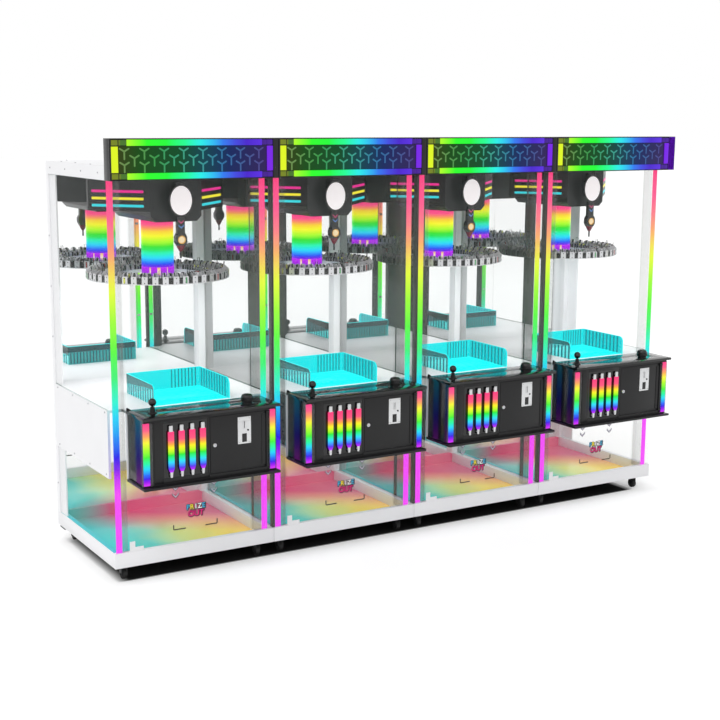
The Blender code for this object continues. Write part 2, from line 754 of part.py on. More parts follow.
def control_box():
    """A hollow box between two overhanging plates, with holes for the controls and the coin door."""
    plate_x = (BOX_LEFT - LID_SIDE, BOX_RIGHT + LID_SIDE)
    plate_y = (-BOX_DEPTH - LID_FRONT, -FIT)
    opening_x = (DOOR_LEFT - DOOR_GAP, DOOR_RIGHT + DOOR_GAP)
    opening_z = (DOOR_BOTTOM - DOOR_GAP, DOOR_BOTTOM + DOOR_HEIGHT + DOOR_GAP)
    body = box_work(
        [
            ((BOX_LEFT, BOX_RIGHT), (-BOX_DEPTH, -FIT), (BOX_BOTTOM, LID_BOTTOM)),
            (plate_x, plate_y, (LID_BOTTOM, LID_TOP)),
            (plate_x, plate_y, (BOX_BOTTOM - LID_THICKNESS, BOX_BOTTOM)),
        ],
        [
            (
                (BOX_LEFT + BOX_WALL, BOX_RIGHT - BOX_WALL),
                (-BOX_DEPTH + BOX_WALL, -FIT - BOX_WALL),
                (BOX_BOTTOM, LID_BOTTOM),
            ),
            (opening_x, (-BOX_DEPTH, -BOX_DEPTH + BOX_WALL), opening_z),
        ],
    )
    stick = (STICK_X, STICK_Y)
    stick_hole = BOOT_RADIUS + BOOT_CLEARANCE
    collar_top = LID_TOP + COLLAR_RING_HEIGHT
    collar = rod(stick, stick_hole + COLLAR_RING, LID_TOP - OVERLAP, collar_top, 24)
    holes = [
        rod(stick, stick_hole, LID_BOTTOM - OVERLAP, collar_top + OVERLAP, 24),
        rod(
            (BUTTON_X, BUTTON_Y),
            BUTTON_STEM_RADIUS + BUTTON_CLEARANCE,
            LID_BOTTOM - OVERLAP,
            LID_TOP + OVERLAP,
            32,
        ),
    ]
    lower_lug = hinge_lug(DOOR_BOTTOM, DOOR_BOTTOM + HINGE_LUG)
    upper_lug = hinge_lug(DOOR_BOTTOM + DOOR_HEIGHT - HINGE_LUG, DOOR_BOTTOM + DOOR_HEIGHT)
    return fused([body, collar, lower_lug, upper_lug], holes)


def hinge_lug(low, high):
    """A lug on the box's front, rounded about the coin door's hinge so that the door swings clear."""
    x, y = hinge_line()
    outline = [
        (x + FIT, -BOX_DEPTH + OVERLAP),
        (x + HINGE_LUG_WIDTH, -BOX_DEPTH + OVERLAP),
        (x + HINGE_LUG_WIDTH, y - BARREL_RADIUS),
    ]
    steps = 8
    for i in range(steps + 1):
        turn = -math.pi / 2 - math.pi * i / steps
        outline.append((x + BARREL_RADIUS * math.cos(turn), y + BARREL_RADIUS * math.sin(turn)))
    return prism(outline, low, high)


def hinge_line():
    """X and Y of the coin door's hinge, in front of the door's right edge."""
    return (DOOR_RIGHT + DOOR_GAP, -BOX_DEPTH - BARREL_RADIUS - FIT)


def coin_door():
    """The door, its hinge barrel and the raised coin plate with its slot."""
    hinge_x, hinge_y = hinge_line()
    barrel = (DOOR_BOTTOM + HINGE_LUG + FIT, DOOR_BOTTOM + DOOR_HEIGHT - HINGE_LUG - FIT)
    slot_x = COIN_PLATE_LEFT + COIN_PLATE_WIDTH / 2
    slot_z = COIN_PLATE_BOTTOM + COIN_SLOT_RISE
    plate_front = -BOX_DEPTH - COIN_PLATE_THICKNESS
    leaf = box_work(
        [
            (
                (DOOR_LEFT, DOOR_RIGHT),
                (-BOX_DEPTH, -BOX_DEPTH + DOOR_THICKNESS),
                (DOOR_BOTTOM, DOOR_BOTTOM + DOOR_HEIGHT),
            ),
            (
                (DOOR_RIGHT - HINGE_LEAF, hinge_x),
                (hinge_y, -BOX_DEPTH),
                (barrel[0] + OVERLAP, barrel[1] - OVERLAP),
            ),
            (
                (COIN_PLATE_LEFT, COIN_PLATE_LEFT + COIN_PLATE_WIDTH),
                (plate_front, -BOX_DEPTH),
                (COIN_PLATE_BOTTOM, COIN_PLATE_BOTTOM + COIN_PLATE_HEIGHT),
            ),
        ],
        [
            (
                (slot_x - COIN_SLOT_WIDTH / 2, slot_x + COIN_SLOT_WIDTH / 2),
                (plate_front, -BOX_DEPTH + DOOR_THICKNESS),
                (slot_z - COIN_SLOT_HEIGHT / 2, slot_z + COIN_SLOT_HEIGHT / 2),
            )
        ],
    )
    return fused([leaf, rod((hinge_x, hinge_y), BARREL_RADIUS, *barrel, 16)])


def round_profile(radius, middle, start, end, steps):
    """Points of a circle's right half, from one angle below the middle to another above it."""
    points = []
    for i in range(steps + 1):
        turn = start + (end - start) * i / steps
        points.append((radius * math.cos(turn), middle + radius * math.sin(turn)))
    return points


def stick_pivot():
    return (STICK_X, STICK_Y, (LID_BOTTOM + LID_TOP) / 2)


def joystick():
    """The shaft, the round boot in the lid's hole and the ball on top."""
    pivot = stick_pivot()[2]
    ball = LID_TOP + STICK_HEIGHT
    boot_turn = math.acos(STICK_RADIUS / BOOT_RADIUS)
    ball_turn = math.acos(STICK_RADIUS / BALL_RADIUS)
    profile = [(0, pivot - STICK_BELOW), (STICK_RADIUS, pivot - STICK_BELOW)]
    profile += round_profile(BOOT_RADIUS, pivot, -boot_turn, boot_turn, 6)
    profile += round_profile(BALL_RADIUS, ball, -ball_turn, math.pi / 3, 6)
    profile.append((0, ball + BALL_RADIUS))
    return turned(profile, 16, (STICK_X, STICK_Y))


def button():
    """A domed cap on a stem that runs in the lid's hole."""
    cap = LID_TOP + BUTTON_TRAVEL + BUTTON_CLEARANCE
    dome = []
    steps = 4
    for i in range(steps):
        turn = math.pi / 2 * i / steps
        dome.append(
            (
                BUTTON_RADIUS * math.cos(turn),
                cap + BUTTON_EDGE + (BUTTON_HEIGHT - BUTTON_EDGE) * math.sin(turn),
            )
        )
    stem = LID_TOP - BUTTON_STEM
    profile = [(0, stem), (BUTTON_STEM_RADIUS, stem), (BUTTON_STEM_RADIUS, cap), (BUTTON_RADIUS, cap)]
    return turned([*profile, *dome, (0, cap + BUTTON_HEIGHT)], 20, (BUTTON_X, BUTTON_Y))


def flap_axis():
    """Y and Z of the prize door's hinge, under the apron."""
    return (FLAP_BARREL + FLAP_SETBACK, APRON_BOTTOM - FIT - FLAP_BARREL)


def prize_door():
    """A clear flap that hangs from a barrel under the apron."""
    y, z = flap_axis()
    barrel_x = (LEFT_PILLAR_END + FIT, RIGHT_PILLAR_START - FIT)
    pane_x = (LEFT_PILLAR_END + FLAP_GAP, RIGHT_PILLAR_START - FLAP_GAP)
    half = FLAP_THICKNESS / 2
    return fused(
        [
            cross_rod(barrel_x, y, z, FLAP_BARREL),
            block(pane_x, (y - half, y + half), (PLINTH_TOP + 2 * FLAP_GAP, z - OVERLAP)),
        ]
    )


def build():
    clear_scene()
    bank = (LEFT, STATIONS * PITCH - SEAM / 2)
    back = (CABINET_BOTTOM, FRAME_TOP)
    place("back_panel", block(bank, (BACK_PANEL_FRONT, DEPTH), back), "white")
    place("rear_mirror", block(bank, (MIRROR_FRONT, MIRROR_FRONT + MIRROR_THICKNESS), back), "mirror")
    strip_y = STRIP_INSET + STRIP_WIDTH / 2
    place("front_caster_strip", caster_strip(strip_y), "steel")
    place("rear_caster_strip", caster_strip(DEPTH - strip_y), "steel")

    fixed = {
        "plinth": (plinth(), "white"),
        "glazing": (glazing(), "clear"),
        "tray": (tray(), "teal"),
        "overhead_housing": (overhead_housing(), "black"),
        "light_tower": (light_tower(), "glow"),
        "control_box": (control_box(), "black"),
    }
    flap_y, flap_z = flap_axis()
    moving = {
        "clip_ring": (clip_ring(), "chrome", (MIDDLE_X, MIDDLE_Y, RING_BOTTOM)),
        "poker": (poker(), "poker", (MIDDLE_X, POKER_Y, POKER_TIP)),
        "joystick": (joystick(), "black", stick_pivot()),
        "button": (button(), "black", (BUTTON_X, BUTTON_Y, LID_TOP)),
        "coin_door": (coin_door(), "black", (*hinge_line(), DOOR_BOTTOM)),
        "prize_door": (prize_door(), "clear", (MIDDLE_X, flap_y, flap_z)),
    }
    for station in range(STATIONS):
        number = station + 1
        ends = (station == 0, station == STATIONS - 1)
        place(f"frame_{number}", cabinet_frame(*ends), "white", station)
        place(f"marquee_{number}", marquee(*ends), "black", station)
        for name, (mesh, finish_name) in fixed.items():
            place(f"{name}_{number}", mesh, finish_name, station)
        for name, (mesh, finish_name, pivot) in moving.items():
            place(f"{name}_{number}", mesh, finish_name, station, pivot)


build()
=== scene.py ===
"""The looks of a bank of linked prize machines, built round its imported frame.

Pieces are modelled in station coordinates, in metres: X from the station's left side, Y from the
cabinet's front, Z from the floor. Each is placed at every station that has it.
"""

import math
import random
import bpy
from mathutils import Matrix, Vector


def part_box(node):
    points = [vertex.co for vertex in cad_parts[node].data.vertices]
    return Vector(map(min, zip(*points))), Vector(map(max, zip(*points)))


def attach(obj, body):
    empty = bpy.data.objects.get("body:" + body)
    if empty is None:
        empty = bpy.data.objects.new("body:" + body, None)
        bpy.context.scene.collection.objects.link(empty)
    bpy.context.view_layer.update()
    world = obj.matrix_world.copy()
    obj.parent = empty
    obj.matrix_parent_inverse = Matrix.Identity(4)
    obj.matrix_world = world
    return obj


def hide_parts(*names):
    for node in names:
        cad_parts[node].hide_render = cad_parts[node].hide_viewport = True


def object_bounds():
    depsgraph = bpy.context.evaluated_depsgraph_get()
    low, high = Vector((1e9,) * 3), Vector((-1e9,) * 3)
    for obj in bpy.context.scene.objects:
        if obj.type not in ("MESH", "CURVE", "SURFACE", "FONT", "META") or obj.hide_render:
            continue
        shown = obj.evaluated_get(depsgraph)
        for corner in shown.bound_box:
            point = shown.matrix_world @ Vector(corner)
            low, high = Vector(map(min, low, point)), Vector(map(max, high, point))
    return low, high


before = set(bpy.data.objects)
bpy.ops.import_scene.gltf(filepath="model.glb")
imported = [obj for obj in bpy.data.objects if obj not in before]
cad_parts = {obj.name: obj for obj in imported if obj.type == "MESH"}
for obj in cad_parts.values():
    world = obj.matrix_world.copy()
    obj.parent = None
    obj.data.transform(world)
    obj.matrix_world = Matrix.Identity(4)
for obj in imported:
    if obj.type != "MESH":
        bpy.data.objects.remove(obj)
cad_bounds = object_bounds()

from types import SimpleNamespace

import bmesh
import bpy
from mathutils import Matrix, Vector

# ---------------------------------------------------------------- stations and their boxes

STATIONS = range(1, 1 + sum(name.startswith("plinth_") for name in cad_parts))
LAST = STATIONS[-1]
FIRST_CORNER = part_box("plinth_1")[0]
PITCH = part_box("plinth_2")[0].x - FIRST_CORNER.x
BANK = "bank"


def origin(station):
    """World place of a station's left front corner on the floor."""
    return Vector((FIRST_CORNER.x + (station - 1) * PITCH, FIRST_CORNER.y, 0))


def edges(node, station=1):
    """A node's box in station coordinates."""
    low, high = (corner - origin(station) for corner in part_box(node))
    return SimpleNamespace(
        left=low.x,
        right=high.x,
        front=low.y,
        back=high.y,
        bottom=low.z,
        top=high.z,
        x=(low.x + high.x) / 2,
        y=(low.y + high.y) / 2,
    )


PLINTH = edges("plinth_1")
FRAME = edges("frame_1")
GLAZING = edges("glazing_1")
TRAY = edges("tray_1")
HOUSING = edges("overhead_housing_1")
TOWER = edges("light_tower_1")
RING = edges("clip_ring_1")
POKER = edges("poker_1")
STICK = edges("joystick_1")
BUTTON = edges("button_1")
BOX = edges("control_box_1")
DOOR = edges("coin_door_1")
FLAP = edges("prize_door_1")

# Sizes that the boxes don't give, the same as the CAD's
LEFT_PILLAR = 0.072
RIGHT_PILLAR = 0.104
PILLAR_DEPTH = 0.05
GLASS = 0.005
DECK = TRAY.bottom
LID = BOX.top - 0.003  # the lid's top, under the joystick's collar
LID_THICKNESS = 0.012
LID_FRONT = 0.028
LID_SIDE = 0.01
BOX_FRONT = BOX.front + LID_FRONT
BOX_LEFT = BOX.left + LID_SIDE
BOX_RIGHT = BOX.right - LID_SIDE
DOOR_RIGHT = 0.686  # the coin door's leaf ends here, beside its hinge
HINGE_X = 0.6875
HINGE_RADIUS = 0.0048
HINGE_RISE = 0.0053  # from the box's front to the hinge's axis
FLAP_FACE = 0.004  # the prize door's front face
HOLE = SimpleNamespace(left=0.2312, right=0.5928, front=0.0362, back=0.1358)  # in the deck
CENTRE = (RING.x, RING.y)


# ---------------------------------------------------------------- materials


GRAIN_DEPTH = 0.001  # of every bump, in metres
SEE_THROUGH = ("Is Camera Ray", "Is Glossy Ray", "Is Transmission Ray")


def linear(red, green, blue):
    """A colour written as it shows on a screen, 0 to 255, in the scene's linear values."""

    def one(value):
        value /= 255
        return value / 12.92 if value <= 0.04045 else ((value + 0.055) / 1.055) ** 2.4

    return (one(red), one(green), one(blue), 1)


def nodes_of(name):
    """A new material, its node tree and its shader."""
    material = bpy.data.materials.new(name)
    material.use_nodes = True
    tree = material.node_tree
    return material, tree, tree.nodes["Principled BSDF"]


def object_place(tree):
    """The object's own coordinates, which don't move with the camera."""
    return tree.nodes.new("ShaderNodeTexCoord").outputs["Object"]


def noise(tree, place, scale, detail=3.0, stretch=None):
    """A noise value over the object's own coordinates; stretch squeezes it along an axis."""
    if stretch:
        mapping = tree.nodes.new("ShaderNodeMapping")
        mapping.inputs["Scale"].default_value = stretch
        tree.links.new(place, mapping.inputs["Vector"])
        place = mapping.outputs["Vector"]
    texture = tree.nodes.new("ShaderNodeTexNoise")
    texture.inputs["Scale"].default_value = scale
    texture.inputs["Detail"].default_value = detail
    tree.links.new(place, texture.inputs["Vector"])
    return texture.outputs["Fac"]


def spread_value(tree, value, low, high):
    """The middle of a noise value, stretched from low to high."""
    ranged = tree.nodes.new("ShaderNodeMapRange")
    ranged.inputs["From Min"].default_value = 0.3
    ranged.inputs["From Max"].default_value = 0.7
    ranged.inputs["To Min"].default_value = low
    ranged.inputs["To Max"].default_value = high
    tree.links.new(value, ranged.inputs["Value"])
    return ranged.outputs["Result"]


def mixed(tree, share, first, second, blend="MIX"):
    """A colour between two, each a colour or a socket."""
    mix = tree.nodes.new("ShaderNodeMix")
    mix.data_type = "RGBA"
    mix.blend_type = blend
    for socket, given in ((mix.inputs["Factor"], share), (mix.inputs["A"], first),
                          (mix.inputs["B"], second)):
        if isinstance(given, bpy.types.NodeSocket):
            tree.links.new(given, socket)
        else:
            socket.default_value = given
    return mix.outputs["Result"]


def maths(tree, operation, first, second):
    """A value from two, each a number or a socket."""
    node = tree.nodes.new("ShaderNodeMath")
    node.operation = operation
    for socket, value in zip(node.inputs, (first, second)):
        if isinstance(value, float):
            socket.default_value = value
        else:
            tree.links.new(value, socket)
    return node.outputs[0]


def bumped(tree, shader, height, strength):
    """Let a height value stand out of the shader's surface."""
    bump = tree.nodes.new("ShaderNodeBump")
    bump.inputs["Strength"].default_value = strength
    bump.inputs["Distance"].default_value = GRAIN_DEPTH
    tree.links.new(height, bump.inputs["Height"])
    tree.links.new(bump.outputs["Normal"], shader.inputs["Normal"])


def surface(name, colour, roughness, metallic=0.0, vary=0.05, grain=350.0, bump=0.08, stretch=None,
            rough_vary=0.05, lit=0.0, specular=0.5):
    """A painted, moulded or metal finish: broad tone, grain in the gloss and a fine bump."""
    material, tree, shader = nodes_of(name)
    place = object_place(tree)
    broad = spread_value(tree, noise(tree, place, 5.0), 0.0, 1.0)
    dark = tuple(c * (1 - vary) for c in colour[:3]) + (1,)
    light = tuple(min(1.0, c * (1 + vary)) for c in colour[:3]) + (1,)
    tree.links.new(mixed(tree, broad, dark, light), shader.inputs["Base Color"])
    fine = noise(tree, place, grain, 2.0, stretch)
    low, high = max(0.01, roughness - rough_vary), min(1.0, roughness + rough_vary)
    tree.links.new(spread_value(tree, fine, low, high), shader.inputs["Roughness"])
    if bump:
        bumped(tree, shader, fine, bump)
    shader.inputs["Metallic"].default_value = metallic
    shader.inputs["Specular IOR Level"].default_value = specular
    if lit:
        shader.inputs["Emission Color"].default_value = colour
        shader.inputs["Emission Strength"].default_value = lit
    return material


def along(tree, place, axis, low, high):
    """0 at low and 1 at high along one of the object's axes."""
    parts = tree.nodes.new("ShaderNodeSeparateXYZ")
    tree.links.new(place, parts.inputs["Vector"])
    ranged = tree.nodes.new("ShaderNodeMapRange")
    ranged.inputs["From Min"].default_value = low
    ranged.inputs["From Max"].default_value = high
    tree.links.new(parts.outputs[axis], ranged.inputs["Value"])
    return ranged.outputs["Result"]


def ramp(tree, share, stops):
    """A colour ramp of (place, colour) stops."""
    node = tree.nodes.new("ShaderNodeValToRGB")
    elements = node.color_ramp.elements
    elements[0].position, elements[0].color = stops[0]
    elements[1].position, elements[1].color = stops[-1]
    for position, colour in stops[1:-1]:
        elements.new(position).color = colour
    tree.links.new(share, node.inputs["Fac"])
    return node.outputs["Color"]


def glow(name, stops, axis="Z", low=0.0, high=1.0, strength=0.96, base=0.05, roughness=0.3, alpha=1.0):
    """A lit diffuser whose colour follows the stops from low to high along an axis."""
    material, tree, shader = nodes_of(name)
    place = object_place(tree)
    lit = ramp(tree, along(tree, place, axis, low, high), stops)
    tree.links.new(lit, shader.inputs["Emission Color"])
    shader.inputs["Emission Strength"].default_value = strength
    body = mixed(tree, 1.0, lit, (base, base, base, 1), "MULTIPLY")
    tree.links.new(body, shader.inputs["Base Color"])
    fine = noise(tree, place, 260.0, 2.0)
    tree.links.new(spread_value(tree, fine, roughness - 0.06, roughness + 0.06), shader.inputs["Roughness"])
    bumped(tree, shader, fine, 0.04)
    shader.inputs["Specular IOR Level"].default_value = 0.12
    shader.inputs["Alpha"].default_value = alpha
    return material


def plain_stops(colour):
    """One colour, very slightly darker at the far end."""
    return [(0.0, colour), (1.0, tuple(c * 0.92 for c in colour[:3]) + (1,))]


def pane(name, colour, alpha, roughness=0.03):
    """Clear glass or acrylic: mostly see-through, with a faint tint and a clean shine."""
    material, tree, shader = nodes_of(name)
    place = object_place(tree)
    smear = spread_value(tree, noise(tree, place, 9.0, 4.0), roughness, roughness + 0.05)
    tree.links.new(smear, shader.inputs["Roughness"])
    tone = noise(tree, place, 2.0)
    dark = tuple(c * 0.9 for c in colour[:3]) + (1,)
    tree.links.new(mixed(tree, tone, dark, colour), shader.inputs["Base Color"])
    shader.inputs["Alpha"].default_value = alpha
    return material


# Colours of the lit strips, as they show, from the top down
RAINBOW = [
    (0.0, (255, 66, 132)), (0.085, (255, 84, 144)), (0.145, (255, 124, 136)),
    (0.2, (252, 172, 106)), (0.25, (246, 226, 76)), (0.29, (230, 255, 44)), (0.37, (156, 255, 40)),
    (0.45, (84, 252, 56)), (0.52, (54, 246, 120)), (0.585, (36, 246, 214)), (0.625, (24, 214, 252)),
    (0.69, (26, 128, 250)), (0.733, (34, 18, 240)), (0.765, (126, 10, 242)), (0.8, (212, 44, 250)),
    (0.835, (248, 68, 252)), (1.0, (248, 68, 252)),
]


def rising(stops):
    """Stops written from the top down, as a ramp from the bottom up."""
    return [(1 - place, linear(*colour)) for place, colour in reversed(stops)]


def make_materials():
    """Every finish that more than one piece wears."""
    m = SimpleNamespace()
    m.white = surface("white_powder_coat", linear(243, 243, 245), 0.38, grain=900, bump=0.05, vary=0.012)
    m.black = surface("black_satin", linear(25, 25, 26), 0.32, grain=700, bump=0.05, vary=0.12,
                      specular=0.32)
    m.black_side = surface("black_side", linear(20, 20, 22), 0.13, grain=200, bump=0.015, vary=0.12,
                           rough_vary=0.02)
    m.black_gloss = surface("black_glass", linear(16, 17, 18), 0.06, grain=90, bump=0.01, vary=0.2,
                            rough_vary=0.02)
    m.black_plastic = surface("black_plastic", linear(20, 20, 21), 0.22, grain=800, bump=0.04, vary=0.15)
    m.rubber = surface("black_rubber", linear(22, 22, 22), 0.72, grain=600, bump=0.25, vary=0.2)
    m.steel = surface("dark_steel", linear(44, 44, 46), 0.42, metallic=0.7, grain=500, bump=0.08, vary=0.15)
    m.zinc = surface("zinc_screw", linear(196, 196, 200), 0.3, metallic=0.9, grain=900, bump=0.05)
    m.chrome = surface("bright_clip_metal", linear(224, 224, 227), 0.22, metallic=0.35, grain=160,
                       bump=0.03, vary=0.1)
    m.brushed = surface("brushed_steel", linear(214, 215, 216), 0.34, metallic=0.55, grain=160, bump=0.1,
                        stretch=(1, 1, 30), vary=0.05)
    m.mirror = surface("mirror_glass", (0.93, 0.94, 0.94, 1), 0.015, metallic=1.0, grain=8, bump=0,
                       vary=0.01,
                       rough_vary=0.006)
    m.glass = pane("clear_glass", linear(214, 224, 220), 0.028)
    m.edge = pane("glass_edge", linear(150, 186, 176), 0.3)
    # The channel infill's grey see-through tint is a painted reflection, standing in for the darker
    # reflections seen in the channels
    m.smoke = pane("channel_painted_reflection", linear(140, 142, 140), 0.15, 0.1)
    m.cover = pane("smoky_cover", linear(96, 96, 98), 0.42, 0.12)
    m.acrylic = pane("clear_acrylic", linear(214, 220, 214), 0.035)
    m.gasket = surface("seam_gasket", linear(64, 66, 62), 0.5, vary=0.1)
    m.gold = surface("gold_ring", linear(226, 176, 92), 0.25, metallic=0.85, grain=300, bump=0.03)
    m.crimson = surface("crimson_cone", linear(120, 20, 44), 0.3, grain=500, bump=0.03, vary=0.15)
    m.green = surface("green_tag", linear(78, 158, 96), 0.35, grain=400, vary=0.15)
    m.yellow = surface("yellow_tag", linear(226, 230, 70), 0.35, grain=400, vary=0.1)
    m.red = surface("red_tag", linear(176, 52, 44), 0.35, grain=400, vary=0.15)
    # The badge enamel also glows a little in its own colour, a painted light that brightens it in the
    # housing's shade
    m.pale = surface("badge_enamel_painted_glow", linear(250, 244, 245), 0.25, grain=600, bump=0.03, vary=0.015,
                     lit=0.32)
    return m


# ---------------------------------------------------------------- shapes


class Shape:
    """Closed parts gathered into one mesh."""

    def __init__(self):
        self.whole = bmesh.new()

    def add(self, part, finish=0, bevel=0.0, segments=2, turn=None):
        """Take in a closed part: bevel its sharp edges, then turn it. Finish is a material's index."""
        if bevel:
            sharp = [e for e in part.edges if e.is_manifold and e.calc_face_angle(0) > math.radians(28)]
            bmesh.ops.bevel(
                part, geom=sharp, offset=bevel, segments=segments, profile=0.5, affect="EDGES",
                clamp_overlap=True,
            )
        bmesh.ops.recalc_face_normals(part, faces=part.faces)
        for face in part.faces:
            face.material_index = finish
        if turn:
            part.transform(turn)
        mesh = bpy.data.meshes.new("part")
        part.to_mesh(mesh)
        part.free()
        self.whole.from_mesh(mesh)
        bpy.data.meshes.remove(mesh)
        return self

    def box(self, x, y, z, **kind):
        """A block from its (low, high) pairs."""
        part = bmesh.new()
        bmesh.ops.create_cube(part, size=1)
        for vertex in part.verts:
            spot = vertex.co
            vertex.co = (x[spot.x > 0], y[spot.y > 0], z[spot.z > 0])
        return self.add(part, **kind)

    def boxes(self, *places, **kind):
        """Several blocks of one kind, each from its three (low, high) pairs."""
        for place in places:
            self.box(*place, **kind)
        return self

    def prism(self, outline, low, high, axis="Z", **kind):
        """An outline in the two other axes, carried from low to high along the axis."""
        part = bmesh.new()

        def corner(a, b, level):
            return part.verts.new({"X": (level, a, b), "Y": (a, level, b), "Z": (a, b, level)}[axis])

        ends = [[corner(a, b, level) for a, b in outline] for level in (low, high)]
        for end in ends:
            part.faces.new(end)
        for i in range(len(outline)):
            j = (i + 1) % len(outline)
            part.faces.new((ends[0][i], ends[0][j], ends[1][j], ends[1][i]))
        return self.add(part, **kind)

    def turned(self, profile, centre=(0, 0, 0), axis="Z", sides=24, hollow=False, **kind):
        """A profile of (radius, height) turned round an axis through the centre."""
        part = bmesh.new()
        rows = []
        for radius, height in profile:
            count = 1 if radius == 0 else sides
            row = []
            for i in range(count):
                turn = 2 * math.pi * i / sides
                a, b = radius * math.cos(turn), radius * math.sin(turn)
                spot = {"X": (height, a, b), "Y": (a, height, b), "Z": (a, b, height)}[axis]
                row.append(part.verts.new(Vector(centre) + Vector(spot)))
            rows.append(row)
        pairs = list(zip(rows, rows[1:]))
        if hollow:
            pairs.append((rows[-1], rows[0]))
        for low, high in pairs:
            for i in range(sides):
                j = (i + 1) % sides
                if len(low) == 1:
                    part.faces.new((low[0], high[j], high[i]))
                elif len(high) == 1:
                    part.faces.new((low[i], low[j], high[0]))
                else:
                    part.faces.new((low[i], low[j], high[j], high[i]))
        return self.add(part, **kind)

    def hoop(self, inner, outer, low, high, centre, sides, **kind):
        """A square-edged ring about Z."""
        profile = [(inner, low), (outer, low), (outer, high), (inner, high)]
        return self.turned(profile, centre, "Z", sides, hollow=True, **kind)

    def rod(self, centre, radius, length, axis="Z", sides=20, edge=0.0, **kind):
        """A cylinder from the centre along the axis, with rounded rims."""
        edge = edge or min(radius, abs(length)) * 0.15
        profile = [(0, 0), (radius - edge, 0), (radius, edge), (radius, length - edge),
                   (radius - edge, length),
                   (0, length)]
        return self.turned(profile, centre, axis, sides, **kind)

    def tube(self, points, radius, sides=8, **kind):
        """A round wire along a list of points, with flat ends."""
        part = bmesh.new()
        points = [Vector(point) for point in points]
        side = Vector((0, 0, 1))
        rows = []
        for i, point in enumerate(points):
            ahead = (points[min(i + 1, len(points) - 1)] - points[max(i - 1, 0)]).normalized()
            if abs(side.dot(ahead)) > 0.9:
                side = Vector((1, 0, 0))
            side = (side - ahead * side.dot(ahead)).normalized()
            across = ahead.cross(side)
            row = []
            for k in range(sides):
                turn = 2 * math.pi * k / sides
                row.append(part.verts.new(point + radius * (side * math.cos(turn) + across * math.sin(turn))))
            rows.append(row)
        for low, high in zip(rows, rows[1:]):
            for i in range(sides):
                j = (i + 1) % sides
                part.faces.new((low[i], low[j], high[j], high[i]))
        part.faces.new(rows[0])
        part.faces.new(rows[-1])
        return self.add(part, **kind)

    def screw(self, spot, axis="Z", way=1, radius=0.0045, finish=0):
        """A domed head with a cross recess, facing along the axis."""
        rise = radius * 0.5
        dome = [(0, 0), (radius, 0), (radius, rise * 0.35), (radius * 0.7, rise * 0.85), (0, rise)]
        if way < 0:
            dome = [(r, -h) for r, h in reversed(dome)]
        self.turned(dome, spot, axis, 12, finish=finish)
        arm, width, sink = radius * 0.5, radius * 0.13, rise * 0.12
        outline = [
            (arm, width), (width, width), (width, arm), (-width, arm), (-width, width), (-arm, width),
            (-arm, -width), (-width, -width), (-width, -arm), (width, -arm), (width, -width), (arm, -width),
        ]
        base = Vector(spot)
        level = base["XYZ".index(axis)] + way * rise
        flat = [base[i] for i in range(3) if i != "XYZ".index(axis)]
        cross = [(flat[0] + a, flat[1] + b) for a, b in outline]
        return self.prism(cross, level - rise * 0.3, level + way * sink, axis, finish=finish + 1)

    def copies(self, mesh, turns):
        """A made mesh again at each of the turns."""
        for turn in turns:
            copy = mesh.copy()
            copy.transform(turn)
            self.whole.from_mesh(copy)
            bpy.data.meshes.remove(copy)
        return self

    def mesh(self, name, *materials, sharp=35):
        """The gathered parts as one mesh, smooth except across edges sharper than so many degrees."""
        made = bpy.data.meshes.new(name)
        self.whole.to_mesh(made)
        self.whole.free()
        for material in materials:
            made.materials.append(material)
        made.shade_smooth()
        made.set_sharp_from_angle(angle=math.radians(sharp))
        return made

    def stand(self, name, slot, *materials, body=BANK, replaces=None, sharp=35):
        """The finished mesh as a piece at every station."""
        everywhere(name, self.mesh(name, *materials, sharp=sharp), body, replaces)


def piece(name, mesh, station, body=BANK, replaces=()):
    """One piece at one station, riding on a body."""
    thing = bpy.data.objects.new(name, mesh)
    bpy.context.scene.collection.objects.link(thing)
    thing.location = origin(station)
    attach(thing, body)
    if replaces:
        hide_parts(*replaces)
    return thing


def everywhere(name, mesh, body=BANK, replaces=None):
    """The same piece at every station; body and replaces are names without the station's number."""
    for station in STATIONS:
        rides = body if body == BANK else f"{body}_{station}"
        gone = [f"{replaces}_{station}"] if replaces else ()
        piece(f"{name}_{station}", mesh, station, rides, gone)


def rounded(left, right, low, high, radius, steps=5):
    """A rectangle's outline with round corners."""
    points = []
    corners = ((right, high, 0), (left, high, 1), (left, low, 2), (right, low, 3))
    for a, b, quarter in corners:
        middle_a = a - radius if a == right else a + radius
        middle_b = b - radius if b == high else b + radius
        for i in range(steps + 1):
            turn = math.pi / 2 * (quarter + i / steps)
            points.append((middle_a + radius * math.cos(turn), middle_b + radius * math.sin(turn)))
    return points


def turned_at(place, degrees):
    """A move to a place after a turn about Z."""
    return Matrix.Translation(place) @ Matrix.Rotation(math.radians(degrees), 4, "Z")


M = make_materials()


# ---------------------------------------------------------------- cabinet


def paint_carried_nodes():
    """Finishes of the CAD nodes that stay."""
    finishes = {
        "frame": M.white,
        "glazing": M.glass,
        "prize_door": M.acrylic,
        "rear_mirror": M.mirror,
    }
    for name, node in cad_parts.items():
        kind = name if name in finishes else name.rsplit("_", 1)[0]
        material = finishes.get(kind)
        if material:
            node.data.materials.clear()
            node.data.materials.append(material)


RIM = 0.026
FLOOR_TOP = PLINTH.bottom + 0.014


